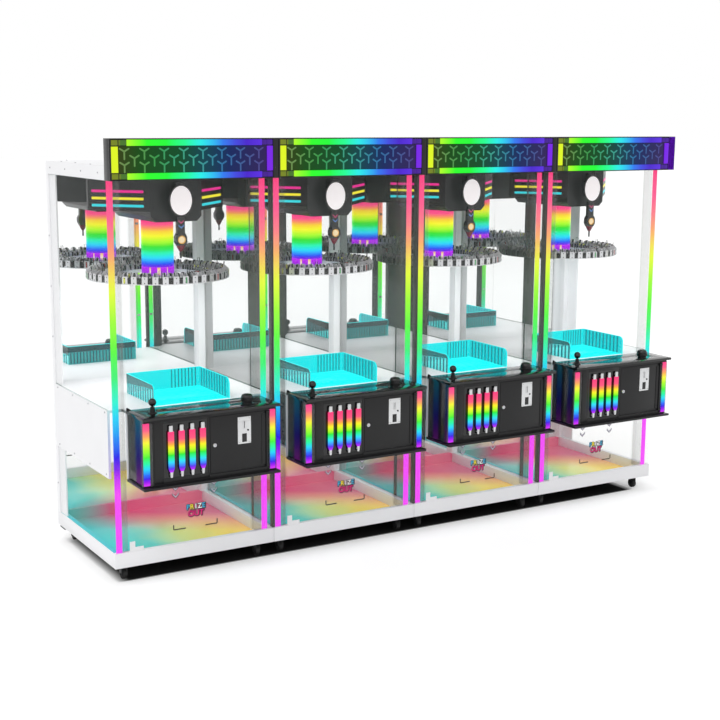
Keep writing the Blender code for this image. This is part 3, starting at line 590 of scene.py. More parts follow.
def plinth():
    """A tray of folded sheet: a rounded rim round a printed floor."""
    shape = Shape()
    inset = 0.0008
    rim = 0.0022
    left, right, front, back = PLINTH.left, PLINTH.right, PLINTH.front, PLINTH.back
    tall = (PLINTH.bottom, PLINTH.top)
    shape.box((left, right), (front, front + RIM), tall, bevel=rim)
    shape.box((left, right), (back - RIM, back), tall, bevel=rim)
    shape.box((left, left + RIM), (front + RIM - inset, back - RIM + inset), tall, bevel=rim)
    shape.box((right - RIM, right), (front + RIM - inset, back - RIM + inset), tall, bevel=rim)
    shape.box((left + RIM, right - RIM), (front + RIM, back - RIM), (PLINTH.bottom + 0.001, FLOOR_TOP))
    shape.stand("plinth_tray", "white_panel", M.white, replaces="plinth")

    # A stepped white bracket stands on the rim beside the left pillar
    foot = Shape()
    start = PLINTH.left + LEFT_PILLAR + 0.0015
    low = PLINTH.top + 0.0002
    foot.prism(
        [(start, low), (start + 0.067, low), (start + 0.067, low + 0.02), (start + 0.026, low + 0.02),
         (start + 0.026, low + 0.048), (start, low + 0.048)],
        0.0004, 0.0032, "Y", bevel=0.0008,
    )
    foot.stand("pillar_foot", "white_panel", M.white)


def floor_print():
    """The compartment's floor: bands of colour that run into each other, with a soft sheen."""
    material, tree, shader = nodes_of("printed_floor_painted_glow")
    place = object_place(tree)
    sway = spread_value(tree, noise(tree, place, 2.6, 2.0), -0.06, 0.06)
    across = along(tree, place, "X", 0.0, PLINTH.right)
    deep = along(tree, place, "Y", 0.0, PLINTH.back)

    wavy = maths(tree, "ADD", across, sway)
    front = ramp(tree, wavy, [
        (0.0, linear(20, 176, 190)), (0.14, linear(30, 184, 184)), (0.34, linear(80, 190, 178)),
        (0.46, linear(160, 204, 152)), (0.58, linear(200, 206, 116)), (0.74, linear(232, 208, 84)),
        (1.0, linear(240, 196, 70)),
    ])
    rear = ramp(tree, wavy, [
        (0.0, linear(104, 172, 138)), (0.16, linear(150, 130, 130)), (0.34, linear(206, 40, 108)),
        (0.56, linear(216, 84, 126)), (0.8, linear(214, 110, 134)), (1.0, linear(206, 96, 130)),
    ])
    # The rear colours start further back on the left
    slanted = maths(tree, "ADD", maths(tree, "MULTIPLY", across, 0.6), deep)
    depth = spread_value(tree, slanted, 0.0, 1.0)
    depth.node.inputs["From Min"].default_value = 0.78
    depth.node.inputs["From Max"].default_value = 1.22
    printed = mixed(tree, depth, front, rear)
    tree.links.new(printed, shader.inputs["Base Color"])
    # The print also glows faintly in its own colours, a painted light that brightens it in the compartment's
    # shade
    tree.links.new(printed, shader.inputs["Emission Color"])
    shader.inputs["Emission Strength"].default_value = 0.28
    tree.links.new(spread_value(tree, noise(tree, place, 60.0), 0.16, 0.26), shader.inputs["Roughness"])
    shape = Shape()
    gap = 0.0006
    shape.box(
        (PLINTH.left + RIM + gap, PLINTH.right - RIM - gap),
        (PLINTH.front + RIM + gap, PLINTH.back - RIM - gap),
        (FLOOR_TOP + 0.0002, FLOOR_TOP + 0.0022),
        bevel=0.0005,
    )
    # The print folds up the rim's inner sides and over its top on the left and at the back
    inner, sheet = RIM + gap, 0.0008
    up = (FLOOR_TOP + 0.0022, PLINTH.top - 0.0006)
    over = (PLINTH.top - 0.0006, PLINTH.top + 0.0002)
    left, right, front_end, back = PLINTH.left, PLINTH.right - RIM, PLINTH.front + inner, PLINTH.back
    shape.box((left + inner, left + inner + sheet), (front_end, back - inner), up)
    shape.box((left + inner + sheet, right - gap), (back - inner - sheet, back - inner), up)
    shape.box((left + 0.004, left + inner + sheet), (front_end, back - 0.002), over)
    shape.box((left + inner + sheet, right - gap), (back - inner - sheet, back - 0.002), over)
    shape.stand("floor_print", "white_panel", material)


def back_panel():
    """The rear skin: one pressed sheet per station with a service door, vents, lock and screws."""
    panel = edges("back_panel")
    thick = panel.front + 0.012
    bank_right = edges("plinth_1").right
    shape = Shape()
    tall = (panel.bottom, panel.top)
    shape.box((panel.left, panel.left + bank_right), (panel.front, thick), tall, bevel=0.001)
    door = (0.075, bank_right - 0.075)
    upper, lower = (0.9, 1.84), (0.2, 0.86)
    for low, high in (upper, lower):
        shape.prism(rounded(*door, low, high, 0.012), thick - 0.0004, panel.back - 0.0004, "Y",
                    bevel=0.0008)
    vent, slat, slat_pitch = (0.28, bank_right - 0.28), 0.011, 0.022
    for lowest, rows in ((0.3, 9), (1.62, 7)):
        for row in range(rows):
            z = lowest + row * slat_pitch
            shape.box(vent, (panel.back - 0.001, panel.back - 0.0001), (z, z + slat), bevel=0.0004,
                      finish=1)
    mesh = shape.mesh("back_skin", M.white, M.black)
    for station in STATIONS:
        piece(f"back_skin_{station}", mesh, station,
              replaces=["back_panel"] if station == 1 else ())

    hardware = Shape()
    for z in (panel.bottom + 0.02, (panel.bottom + panel.top) / 2, panel.top - 0.02):
        for x in (0.02, bank_right - 0.02):
            hardware.screw((x, thick, z), "Y")
    for low, high in (lower, upper):
        for z in (low + 0.02, high - 0.02):
            for x in (door[0] + 0.02, door[1] - 0.02):
                rivet = [(0, 0), (0.005, 0), (0.005, 0.0002), (0, 0.0003)]
                hardware.turned(rivet, (x, panel.back - 0.0005, z), "Y")
    lock = [(0, 0), (0.011, 0), (0.011, 0.0002), (0.009, 0.00035), (0, 0.00035)]
    for low, high in (upper, lower):
        hardware.turned(lock, (door[1] - 0.06, panel.back - 0.0005, (low + high) / 2), "Y")
    hardware.stand("back_hardware", "dark_steel", M.zinc, M.black)


def frame_details():
    """Roof screws and vents, screws on the bank's ends, the glass clamps and the panes' edges."""
    screws = Shape()
    for x in (0.1, 0.3, PLINTH.right - 0.3, PLINTH.right - 0.1):
        for y in (0.01, FRAME.back - 0.012):
            screws.screw((x, y, FRAME.top), "Z")
    for y in (0.2, 0.4, 0.6):
        for x in (0.01, PLINTH.right - 0.01):
            screws.screw((x, y, FRAME.top), "Z")
    screws.stand("roof_screws", "dark_steel", M.zinc, M.black)

    vents = Shape()
    for row in range(8):
        y = 0.54 + row * 0.018
        vents.prism(rounded(0.3, PLINTH.right - 0.3, y, y + 0.009, 0.0044), FRAME.top - 0.001,
                    FRAME.top + 0.0006, "Z", bevel=0.0002)
    vents.stand("roof_vents", "black_plastic", M.black)

    # Ends of the bank: rows of screws on the side panels, and down the rear post
    for station, x, way in ((1, FRAME.left, -1), (LAST, PLINTH.right, 1)):
        end = Shape()
        for z in (FRAME.top - 0.032, 0.8, 0.51):
            for y in (0.08, 0.3, 0.52, 0.74):
                end.screw((x, y, z), "X", way)
        for z in (0.3, 1.05, 1.3, 1.55):
            end.screw((x, FRAME.back - 0.014, z), "X", way)
        piece(f"end_screws_{station}", end.mesh("end_screws", M.zinc, M.black), station)

    # A black wedge steadies the front glass above the lid, beside the left pillar
    clamp = Shape()
    x, z = LEFT_PILLAR + 0.002, LID + 0.002
    clamp.prism([(x, z - 0.008), (x + 0.022, z - 0.008), (x + 0.022, z - 0.003), (x + 0.006, z + 0.008),
                 (x, z + 0.008)],
                0.0004, 0.0034, "Y", bevel=0.0006)
    clamp.stand("glass_clamp", "black_plastic", M.black_plastic)

    # Bright polished edges of the panes
    rims = Shape()
    thin = 0.0012
    low, high = DECK + 0.0006, GLAZING.top
    for x in (GLAZING.left + GLASS / 2, PLINTH.right - GLASS / 2):
        rims.box((x - GLASS / 2, x + GLASS / 2), (PILLAR_DEPTH, FRAME.back - 0.03), (high - thin, high))
        rims.box((x - GLASS / 2, x + GLASS / 2), (PILLAR_DEPTH, FRAME.back - 0.03), (low, low + thin))
    rims.stand("pane_edges", "clear_glass", M.edge)


# ---------------------------------------------------------------- lit strips


STRIP_LOW = GLAZING.bottom + 0.001
STRIP_HIGH = GLAZING.top - 0.001


def light_strips():
    """The diffusers in the corner channels, what fills the channels beside them and the seams."""
    lit = glow("pillar_light", rising(RAINBOW), "Z", STRIP_LOW, STRIP_HIGH)
    wall = 0.0045
    width, deep = 0.03, (0.0045, 0.0085)
    right_start = PLINTH.right - RIGHT_PILLAR
    left_strip = (0.0385 - width, 0.0385)
    right_strip = (right_start + 0.07 - width, right_start + 0.07)
    tall = (STRIP_LOW, STRIP_HIGH)
    strips = Shape()
    for x in (left_strip, right_strip):
        strips.box(x, deep, tall, bevel=0.0015)
    strips.stand("pillar_light", "light_diffuser", lit)

    # Clips hold each strip to its channel
    clips = Shape()
    for x in (left_strip, right_strip):
        for k in range(7):
            z = STRIP_LOW + 0.06 + k * (STRIP_HIGH - STRIP_LOW - 0.12) / 6
            clips.box((x[0] + 0.006, x[1] - 0.006), (deep[1], deep[1] + 0.004), (z - 0.006, z + 0.006),
                      bevel=0.0008)
    clips.stand("strip_clips", "clip_metal", M.brushed)

    # Grey see-through infill: a painted reflection of the darker look the channels have
    smoke = Shape()
    smoke.box((left_strip[1] + 0.0008, LEFT_PILLAR - wall), (0.008, 0.044), tall, bevel=0.001)
    smoke.box((right_start + wall, right_strip[0] - 0.0008), (0.008, 0.044), tall, bevel=0.001)
    smoke.stand("channel_infill", "clear_glass", M.smoke)

    # A gasket closes the seam on each side that meets another station
    gap = (PLINTH.right - 0.0052, PLINTH.right - 0.0004)
    for station in STATIONS:
        seam = Shape()
        if station != LAST:
            seam.box(gap, (0.0012, 0.03), tall, bevel=0.001)
        if station != 1:
            seam.box((GLAZING.left + 0.0004, GLAZING.left + 0.0052), (0.0012, 0.03), tall, bevel=0.001)
        piece(f"seam_gasket_{station}", seam.mesh("seam_gasket", M.gasket), station)


# ---------------------------------------------------------------- marquee


MARQUEE_STOPS = [
    (0.0, linear(176, 255, 44)), (0.06, linear(130, 255, 44)), (0.14, linear(48, 255, 44)),
    (0.28, linear(36, 250, 60)), (0.42, linear(36, 252, 150)), (0.53, linear(40, 238, 232)),
    (0.61, linear(46, 196, 242)), (0.7, linear(50, 122, 240)), (0.79, linear(66, 74, 222)),
    (0.88, linear(72, 34, 204)), (1.0, linear(92, 44, 224)),
]


def tri_arm(shape, x, z, y, reach, stem, width, rise):
    """A Y-shaped rib standing on a face that looks along -Y."""
    for degrees, length in ((30, reach), (150, reach), (270, stem)):
        arm = [
            (0, -width / 2), (length, -width / 2), (length + width / 2, 0), (length, width / 2),
            (0, width / 2),
            (-width / 2, 0),
        ]
        cos, sin = math.cos(math.radians(degrees)), math.sin(math.radians(degrees))
        outline = [(x + a * cos - b * sin, z + a * sin + b * cos) for a, b in arm]
        shape.prism(outline, y, y - rise, "Y")


def marquee():
    """Light boxes: a ribbed screen framed by lit bars, with darker corners and a screwed top."""
    bar_left, bar_right = 0.0825, 0.735
    bars_lit = glow("marquee_light", MARQUEE_STOPS, "X", bar_left, bar_right)
    yellow_lit = glow("marquee_yellow", plain_stops(linear(232, 255, 36)))
    violet_lit = glow("marquee_violet", plain_stops(linear(126, 40, 240)))
    dim_stops = [
        (0.0, linear(136, 148, 40)), (0.055, linear(120, 140, 44)), (0.06, linear(80, 128, 48)),
        (0.8, linear(54, 30, 110)), (1.0, linear(84, 40, 170)),
    ]
    dim_lit = glow("marquee_dim", dim_stops, "X", 0.005, 0.8, strength=0.8)
    rib_stops = [
        (0.0, linear(120, 150, 84)), (0.25, linear(60, 160, 80)), (0.5, linear(64, 168, 150)),
        (0.7, linear(50, 116, 170)), (1.0, linear(84, 66, 140)),
    ]
    rib_lit = glow("marquee_rib", rib_stops, "X", 0.04, 0.76, strength=0.75, base=0.15)
    screen_stops = [
        (0.0, linear(48, 60, 12)), (0.14, linear(18, 72, 16)), (0.4, linear(6, 72, 36)),
        (0.56, linear(6, 64, 74)), (0.74, linear(14, 36, 90)), (1.0, linear(44, 26, 84)),
    ]
    screen_face = glow("marquee_screen", screen_stops, "X", 0.04, 0.76, strength=0.8, base=0.3,
                       roughness=0.2)

    margin = 0.004
    bar = 0.029
    left, right = 0.009, 0.7915
    for station in STATIONS:
        m = edges(f"marquee_{station}", station)
        face = m.front
        if station == 1:
            m.left = FRAME.left
        shell = Shape()
        shell.box((m.left, m.right), (face + 0.008, m.back), (m.bottom, m.top), bevel=0.0015)
        deep = (face, face + 0.009)
        shell.box((m.left, m.right), deep, (m.top - margin, m.top), bevel=0.0012)
        shell.box((m.left, m.right), deep, (m.bottom, m.bottom + margin), bevel=0.0012)
        inner = (m.bottom + margin - 0.001, m.top - margin + 0.001)
        shell.box((m.left, left), deep, inner, bevel=0.0012)
        shell.box((right, m.right), deep, inner, bevel=0.0012)
        piece(f"marquee_shell_{station}", shell.mesh("marquee_shell", M.black), station,
              replaces=[f"marquee_{station}"])

    m = edges("marquee_2", 2)
    face = m.front
    low, high = m.bottom + margin, m.top - margin
    screen = Shape()
    screen.box((left, right), (face + 0.0055, face + 0.0082), (low + bar, high - bar), bevel=0.0006)
    screen.stand("marquee_screen", "sign_box", screen_face)

    # Columns of Y-shaped ribs, every second one half a step lower
    ribs = Shape()
    column, row = 0.0464, 0.0594
    reach, stem, width = 0.0245, 0.034, 0.0072
    inside = (low + bar + 0.003, high - bar - 0.003)
    first = left + 0.036 + 0.0255
    for i in range(int((right - 0.036 - first) / column) + 1):
        x = first + i * column
        top = inside[1] - 0.02 - (row / 2 if i % 2 else 0)
        for j in range(-1, 3):
            z = top - j * row
            up, down = z + reach / 2 < inside[1], z - stem > inside[0]
            if up and down:
                tri_arm(ribs, x, z, face + 0.0056, reach, stem, width, 0.0012)
            elif up and z - 0.012 > inside[0]:
                tri_arm(ribs, x, z, face + 0.0056, reach, z - inside[0], width, 0.0012)
    ribs.stand("marquee_ribs", "sign_box", rib_lit)

    bars = Shape()
    deep = (face + 0.0012, face + 0.008)
    for z in ((high - bar + 0.001, high - 0.001), (low + 0.001, low + bar - 0.001)):
        bars.box((bar_left, bar_right), deep, z, bevel=0.0012)
    bars.stand("marquee_bars", "light_diffuser", bars_lit)

    dims = Shape()
    for z in ((high - bar + 0.003, high - 0.003), (low + 0.003, low + bar - 0.003)):
        for x in ((left + 0.003, 0.0405), (0.046, 0.0805), (0.7365, 0.759), (0.7615, right - 0.002)):
            dims.box(x, (deep[0] + 0.001, deep[1]), z, bevel=0.001)
    dims.stand("marquee_corners", "light_diffuser", dim_lit)

    inner = (low + bar + 0.002, high - bar - 0.002)
    for name, x, material in (("left", (left + 0.001, 0.0405), yellow_lit),
                              ("right", (0.7615, right - 0.001), violet_lit)):
        side = Shape()
        side.box(x, deep, inner, bevel=0.0012)
        side.stand(f"marquee_bar_{name}", "light_diffuser", material)

    # The last marquee ends in a violet cap
    end = edges(f"marquee_{LAST}", LAST)
    cap = Shape()
    cap.box((right + 0.0002, end.right - 0.0016), (face, face + 0.007), (m.bottom + 0.002, m.top - 0.002),
            bevel=0.001)
    piece("marquee_end_cap", cap.mesh("marquee_end_cap", violet_lit), LAST)

    # Screws in the top
    fittings = Shape()
    for x in (0.06, 0.28, 0.53, 0.76):
        fittings.turned([(0, -0.0008), (0.0045, -0.0008), (0.0045, -0.0002), (0.0038, 0), (0, 0)],
                        (x, m.front + 0.035, m.top - 0.00005), "Z", 14)
    fittings.stand("marquee_screws", "dark_steel", M.zinc)


# ---------------------------------------------------------------- overhead housing and its stripes


FACE = 0.254
WIDE = HOUSING.right - HOUSING.left
DEEP = 0.476
SIDE = 0.02
BLOCK_LOW = HOUSING.bottom
SHELL_LOW = HOUSING.bottom + 0.0495


def overhead():
    """The eight-sided housing, the poker's guide and the bare badge plate."""
    cx, cy = HOUSING.x, CENTRE[1]
    quarter = [(FACE / 2, -DEEP / 2), (WIDE / 2, -SIDE / 2), (WIDE / 2, SIDE / 2), (FACE / 2, DEEP / 2)]
    outline = [(cx + x, cy + y) for x, y in quarter] + [(cx - x, cy - y) for x, y in quarter]
    shell = Shape()
    shell.prism(outline, SHELL_LOW, HOUSING.top, bevel=0.004, segments=3)
    chamfer = 0.024
    block = [
        (cx - FACE / 2 + chamfer, BLOCK_LOW), (cx + FACE / 2 - chamfer, BLOCK_LOW),
        (cx + FACE / 2, BLOCK_LOW + chamfer), (cx + FACE / 2, SHELL_LOW + 0.004),
        (cx - FACE / 2, SHELL_LOW + 0.004), (cx - FACE / 2, BLOCK_LOW + chamfer),
    ]
    shell.prism(block, cy - DEEP / 2 + 0.0004, cy + DEEP / 2 - 0.0004, "Y", bevel=0.002, segments=2)
    shell.stand("housing_shell", "black_panel", M.black, replaces="overhead_housing")

    # Guide block for the poker, bored through, with a steel bush at each end
    guide_y = POKER.y
    guide = Shape()
    half, bore = 0.025, 0.0075
    front, back = guide_y - 0.0115, cy - DEEP / 2 + 0.001
    tall = (SHELL_LOW + 0.0055, SHELL_LOW + 0.1355)
    guide.box((cx - half, cx - bore), (front, back), tall, bevel=0.002)
    guide.box((cx + bore, cx + half), (front, back), tall, bevel=0.002)
    guide.box((cx - bore - 0.001, cx + bore + 0.001), (guide_y + bore, back),
              (tall[0] + 0.001, tall[1] - 0.001))
    guide.box((cx - bore - 0.001, cx + bore + 0.001), (front + 0.0005, guide_y - bore),
              (tall[0] + 0.001, tall[1] - 0.001))
    for low, high in ((tall[0] + 0.0004, tall[0] + 0.005), (tall[1] - 0.005, tall[1] - 0.0004)):
        guide.hoop(bore, 0.0105, low, high, (cx, guide_y, 0), 24, finish=1)
    for z in (tall[0] + 0.02, tall[1] - 0.02):
        for x in (cx - 0.018, cx + 0.018):
            guide.screw((x, front, z), "Y", -1, radius=0.0035, finish=2)
    guide.stand("poker_guide", "black_panel", M.black_plastic, M.steel, M.zinc, M.black)

    # Oval badge plate, left plain, on a larger black back
    badge_front = HOUSING.front
    badge_z = SHELL_LOW + 0.0515
    wide, tall_badge = 0.059, 0.074
    plate = Shape()
    steps = 56

    def oval(share):
        return [
            (cx + wide * share * math.cos(2 * math.pi * i / steps),
             badge_z + tall_badge * share * math.sin(2 * math.pi * i / steps))
            for i in range(steps)
        ]

    plate.prism(oval(1.0), badge_front + 0.0015, badge_front + 0.0062, "Y", bevel=0.001, finish=1)
    plate.prism(oval(0.9), badge_front, badge_front + 0.0018, "Y", bevel=0.0008)
    plate.stand("badge_plate", "black_panel", M.pale, M.black_plastic)

    stripes()
    housing_details(cx, cy)


def stripes():
    """Three lit bars on each of the two slanted front faces."""
    cx, cy = HOUSING.x, CENTRE[1]
    colours = (("magenta", (240, 40, 150)), ("yellow", (252, 240, 50)), ("cyan", (50, 222, 232)))
    run = Vector((WIDE / 2 - FACE / 2, (DEEP - SIDE) / 2, 0))
    length = run.length
    heading = math.degrees(math.atan2(run.y, run.x))
    for index, (name, colour) in enumerate(colours):
        z = SHELL_LOW + 0.0905 - index * 0.033
        lit = glow(f"stripe_{name}", plain_stops(linear(*colour)), strength=0.95)
        bars = Shape()
        for way, start, end in ((1, 0.01, length - 0.034), (-1, 0.034, length - 0.02)):
            place = Matrix.Translation((cx + way * FACE / 2, cy - DEEP / 2, 0))
            turn = place @ Matrix.Rotation(math.radians(way * heading), 4, "Z")
            reach = sorted((way * start, way * end))
            bars.prism(rounded(*reach, z - 0.006, z + 0.006, 0.003), -0.0022, 0.0004, "Y", bevel=0.0006,
                       turn=turn)
        bars.stand(f"stripe_{name}", "light_diffuser", lit)


def housing_details(cx, cy):
    """Screws on the housing's front and back, and vents on its underside."""
    trim = Shape()
    for y, way in ((cy - DEEP / 2, -1), (cy + DEEP / 2, 1)):
        for x in (cx - FACE / 2 + 0.018, cx + FACE / 2 - 0.018):
            for z in (SHELL_LOW + 0.018, HOUSING.top - 0.02):
                trim.screw((x, y, z), "Y", way, radius=0.0035)
    trim.stand("housing_screws", "dark_steel", M.steel, M.black)
    under = Shape()
    for side in (-1, 1):
        for row in range(6):
            x = cx + side * (FACE / 2 + 0.03 + row * 0.016)
            reach = 0.1 - row * 0.012
            under.box((x - 0.004, x + 0.004), (cy - reach, cy + reach),
                      (SHELL_LOW - 0.0006, SHELL_LOW + 0.001),
                      bevel=0.0004)
    under.stand("housing_vents", "black_panel", M.steel)


# ---------------------------------------------------------------- light tower


TOWER_STOPS = [
    (0.0, (255, 44, 132)), (0.09, (255, 80, 140)), (0.15, (255, 140, 96)), (0.21, (255, 214, 40)),
    (0.29, (252, 252, 20)), (0.4, (168, 255, 10)), (0.48, (40, 232, 20)), (0.54, (10, 236, 90)),
    (0.6, (10, 246, 190)), (0.68, (10, 226, 255)), (0.74, (10, 150, 255)), (0.79, (20, 60, 250)),
    (0.83, (100, 10, 236)), (0.88, (196, 10, 255)), (1.0, (150, 16, 220)),
]


def light_tower():
    """The lit sleeve over a crown of ten teeth, with a bright core behind them."""
    radius = (TOWER.right - TOWER.left) / 2
    cx, cy = TOWER.x, TOWER.y
    crown = 0.0365
    crown_top = TOWER.bottom + crown
    lit = glow("tower_light", rising(TOWER_STOPS), "Z", TOWER.bottom, TOWER.top, strength=0.95,
               roughness=0.2)
    sleeve = Shape()
    r = radius - 0.0006
    sleeve.turned(
        [(0, crown_top + 0.004), (r - 0.002, crown_top + 0.004), (r, crown_top + 0.006),
         (r, TOWER.top - 0.004),
         (r - 0.002, TOWER.top - 0.002), (0, TOWER.top - 0.002)],
        (cx, cy, 0), "Z", 64,
    )
    sleeve.stand("tower_sleeve", "light_diffuser", lit, replaces="light_tower", sharp=50)
    collars = Shape()
    collars.hoop(radius - 0.012, radius, TOWER.top - 0.006, TOWER.top, (cx, cy, 0), 64)
    collars.stand("tower_collar", "black_plastic", M.black_plastic)

    teeth = Shape()
    count = 10
    inner = radius - 0.014
    gap = math.radians(13)
    for i in range(count):
        start = 2 * math.pi * i / count + gap / 2
        end = 2 * math.pi * (i + 1) / count - gap / 2
        steps = 5
        turns = [start + (end - start) * k / steps for k in range(steps + 1)]
        outline = [(cx + radius * math.cos(t), cy + radius * math.sin(t)) for t in turns]
        outline += [(cx + inner * math.cos(t), cy + inner * math.sin(t)) for t in reversed(turns)]
        teeth.prism(outline, TOWER.bottom, crown_top + 0.0035, "Z", bevel=0.0012)
    tooth = glow("crown_light", rising([(0, (196, 10, 255)), (1, (140, 16, 214))]), "Z", TOWER.bottom,
                 crown_top,
                 strength=0.85)
    teeth.stand("tower_crown", "light_diffuser", tooth)

    core = Shape()
    core.hoop(inner - 0.004, inner - 0.001, TOWER.bottom + 0.004, crown_top + 0.003, (cx, cy, 0), 56)
    gold = glow("crown_gaps", rising([(0, (255, 200, 120)), (0.5, (255, 240, 214)), (1, (214, 150, 120))]),
                "Z",
                TOWER.bottom, crown_top, strength=0.9)
    core.stand("tower_core", "light_diffuser", gold)


# ---------------------------------------------------------------- clip ring


RING_RADIUS = (RING.right - RING.left) / 2
RING_INNER = 0.205
TROUGH = 0.2804  # radius at which the poker comes down
CLIPS = 44


def ring_rims():
    """Two rolled hoops, the four spokes and the hub."""
    low = RING.bottom
    shape = Shape()
    centre = (*CENTRE, 0)
    shape.hoop(RING_INNER, RING_INNER + 0.006, low, low + 0.018, centre, 96)
    shape.hoop(RING_RADIUS - 0.02, RING_RADIUS - 0.006, low, low + 0.01, centre, 96)
    shape.hoop(TROUGH - 0.055, TROUGH + 0.048, low + 0.001, low + 0.005, centre, 96)
    for i in range(4):
        turn = turned_at(centre, 45 + 90 * i)
        shape.box((0.03, RING_INNER + 0.003), (-0.011, 0.011), (low + 0.0006, low + 0.0054), bevel=0.001,
                  turn=turn)
    shape.turned(
        [(0, low), (0.048, low), (0.05, low + 0.002), (0.05, low + 0.007), (0.048, low + 0.008),
         (0.014, low + 0.008),
         (0.012, low + 0.012), (0.008, low + 0.014), (0.008, RING.top), (0, RING.top)],
        centre, "Z", 40,
    )
    shape.stand("ring_hoops", "clip_metal", M.chrome, body="ring", replaces="clip_ring")


def one_clip():
    """One clip along +X: base, tab, jaws, spring and lever. Finishes: bright, dark."""
    floor = RING.bottom
    low = floor + 0.0056
    groove_in, groove_out = TROUGH - 0.019, TROUGH + 0.019
    jaw_top, grip_top = floor + 0.053, floor + 0.041
    clip = Shape()
    # base plate under the groove
    clip.box((RING_INNER + 0.007, RING_RADIUS - 0.007), (-0.0085, 0.0085), (low, low + 0.0022),
             bevel=0.0006)
    # outer tab with its folded top, and beside it a black block, a painted shade that stands in for the dark
    # gap there
    clip.prism(rounded(-0.0135, 0.0135, floor + 0.0005, floor + 0.0385, 0.002, 3), RING_RADIUS - 0.0052,
               RING_RADIUS - 0.0026, "X", bevel=0.0006)
    clip.box((RING_RADIUS - 0.016, RING_RADIUS - 0.003), (-0.012, 0.012),
             (floor + 0.036, floor + 0.0385), bevel=0.0008)
    clip.box((RING_RADIUS - 0.0095, RING_RADIUS - 0.006), (0.0125, 0.0355),
             (floor + 0.004, floor + 0.033), bevel=0.0008,
             finish=1)
    # two jaw cheeks, cut back at the top
    for y in (-0.0105, 0.0085):
        cheek = [
            (groove_out, low), (RING_RADIUS - 0.009, low), (RING_RADIUS - 0.009, low + 0.036),
            (RING_RADIUS - 0.018, jaw_top), (groove_out + 0.006, jaw_top - 0.006),
            (groove_out, low + 0.024),
        ]
        clip.prism(cheek, y, y + 0.002, "Y", bevel=0.0005)
    # inner arms
    for y in (-0.0095, 0.0075):
        arm = [
            (RING_INNER + 0.009, low), (groove_in, low), (groove_in, low + 0.014),
            (groove_in - 0.016, grip_top),
            (RING_INNER + 0.016, grip_top), (RING_INNER + 0.009, low + 0.024),
        ]
        clip.prism(arm, y, y + 0.002, "Y", bevel=0.0005)
    # pins
    clip.rod((groove_out + 0.01, -0.0125, low + 0.034), 0.0024, 0.025, "Y", 10)
    clip.rod((RING_INNER + 0.02, -0.011, low + 0.024), 0.0022, 0.022, "Y", 10)
    clip.rod((RING_RADIUS - 0.014, -0.0125, low + 0.018), 0.0018, 0.025, "Y", 10)
    # screws on the tab
    for z in (0.009, 0.03):
        clip.turned([(0, -0.0027), (0.0026, -0.0027), (0.0026, -0.0016), (0.0018, -0.0009), (0, -0.0008)],
                    (RING_RADIUS, 0, floor + z), "X", 10, finish=1)
    # dark spring between the cheeks
    turns, points = 5, []
    for k in range(turns * 8 + 1):
        angle = 2 * math.pi * k / 8
        points.append((
            groove_out + 0.012 + 0.0058 * math.cos(angle),
            -0.007 + 0.014 * k / (turns * 8),
            low + 0.022 + 0.0058 * math.sin(angle),
        ))
    clip.tube(points, 0.0011, 5, finish=1)
    # black jaw pad leaning over the cheeks
    pad = [
        (groove_out + 0.003, low + 0.012), (groove_out + 0.018, low + 0.03),
        (groove_out + 0.022, jaw_top + 0.001),
        (groove_out + 0.012, jaw_top + 0.002), (groove_out + 0.001, low + 0.03),
    ]
    clip.prism(pad, -0.005, -0.0006, "Y", bevel=0.0008, finish=1)
    clip.prism(pad, 0.0006, 0.005, "Y", bevel=0.0008)
    # black grip, with a rounded nose and finger ridges
    grip = [
        (RING_INNER + 0.012, low + 0.003), (groove_in - 0.004, low + 0.003),
        (groove_in - 0.003, low + 0.01),
        (groove_in - 0.014, low + 0.026), (groove_in - 0.026, grip_top + 0.002),
        (RING_INNER + 0.012, grip_top + 0.002),
    ]
    clip.prism(grip, -0.0052, 0.0052, "Y", bevel=0.0012, finish=1)
    for k in range(3):
        x = RING_INNER + 0.012 + k * 0.006
        clip.box((x, x + 0.0025), (-0.0068, 0.0068), (grip_top - 0.003, grip_top + 0.003), bevel=0.0005,
                 finish=k % 2)
    return clip


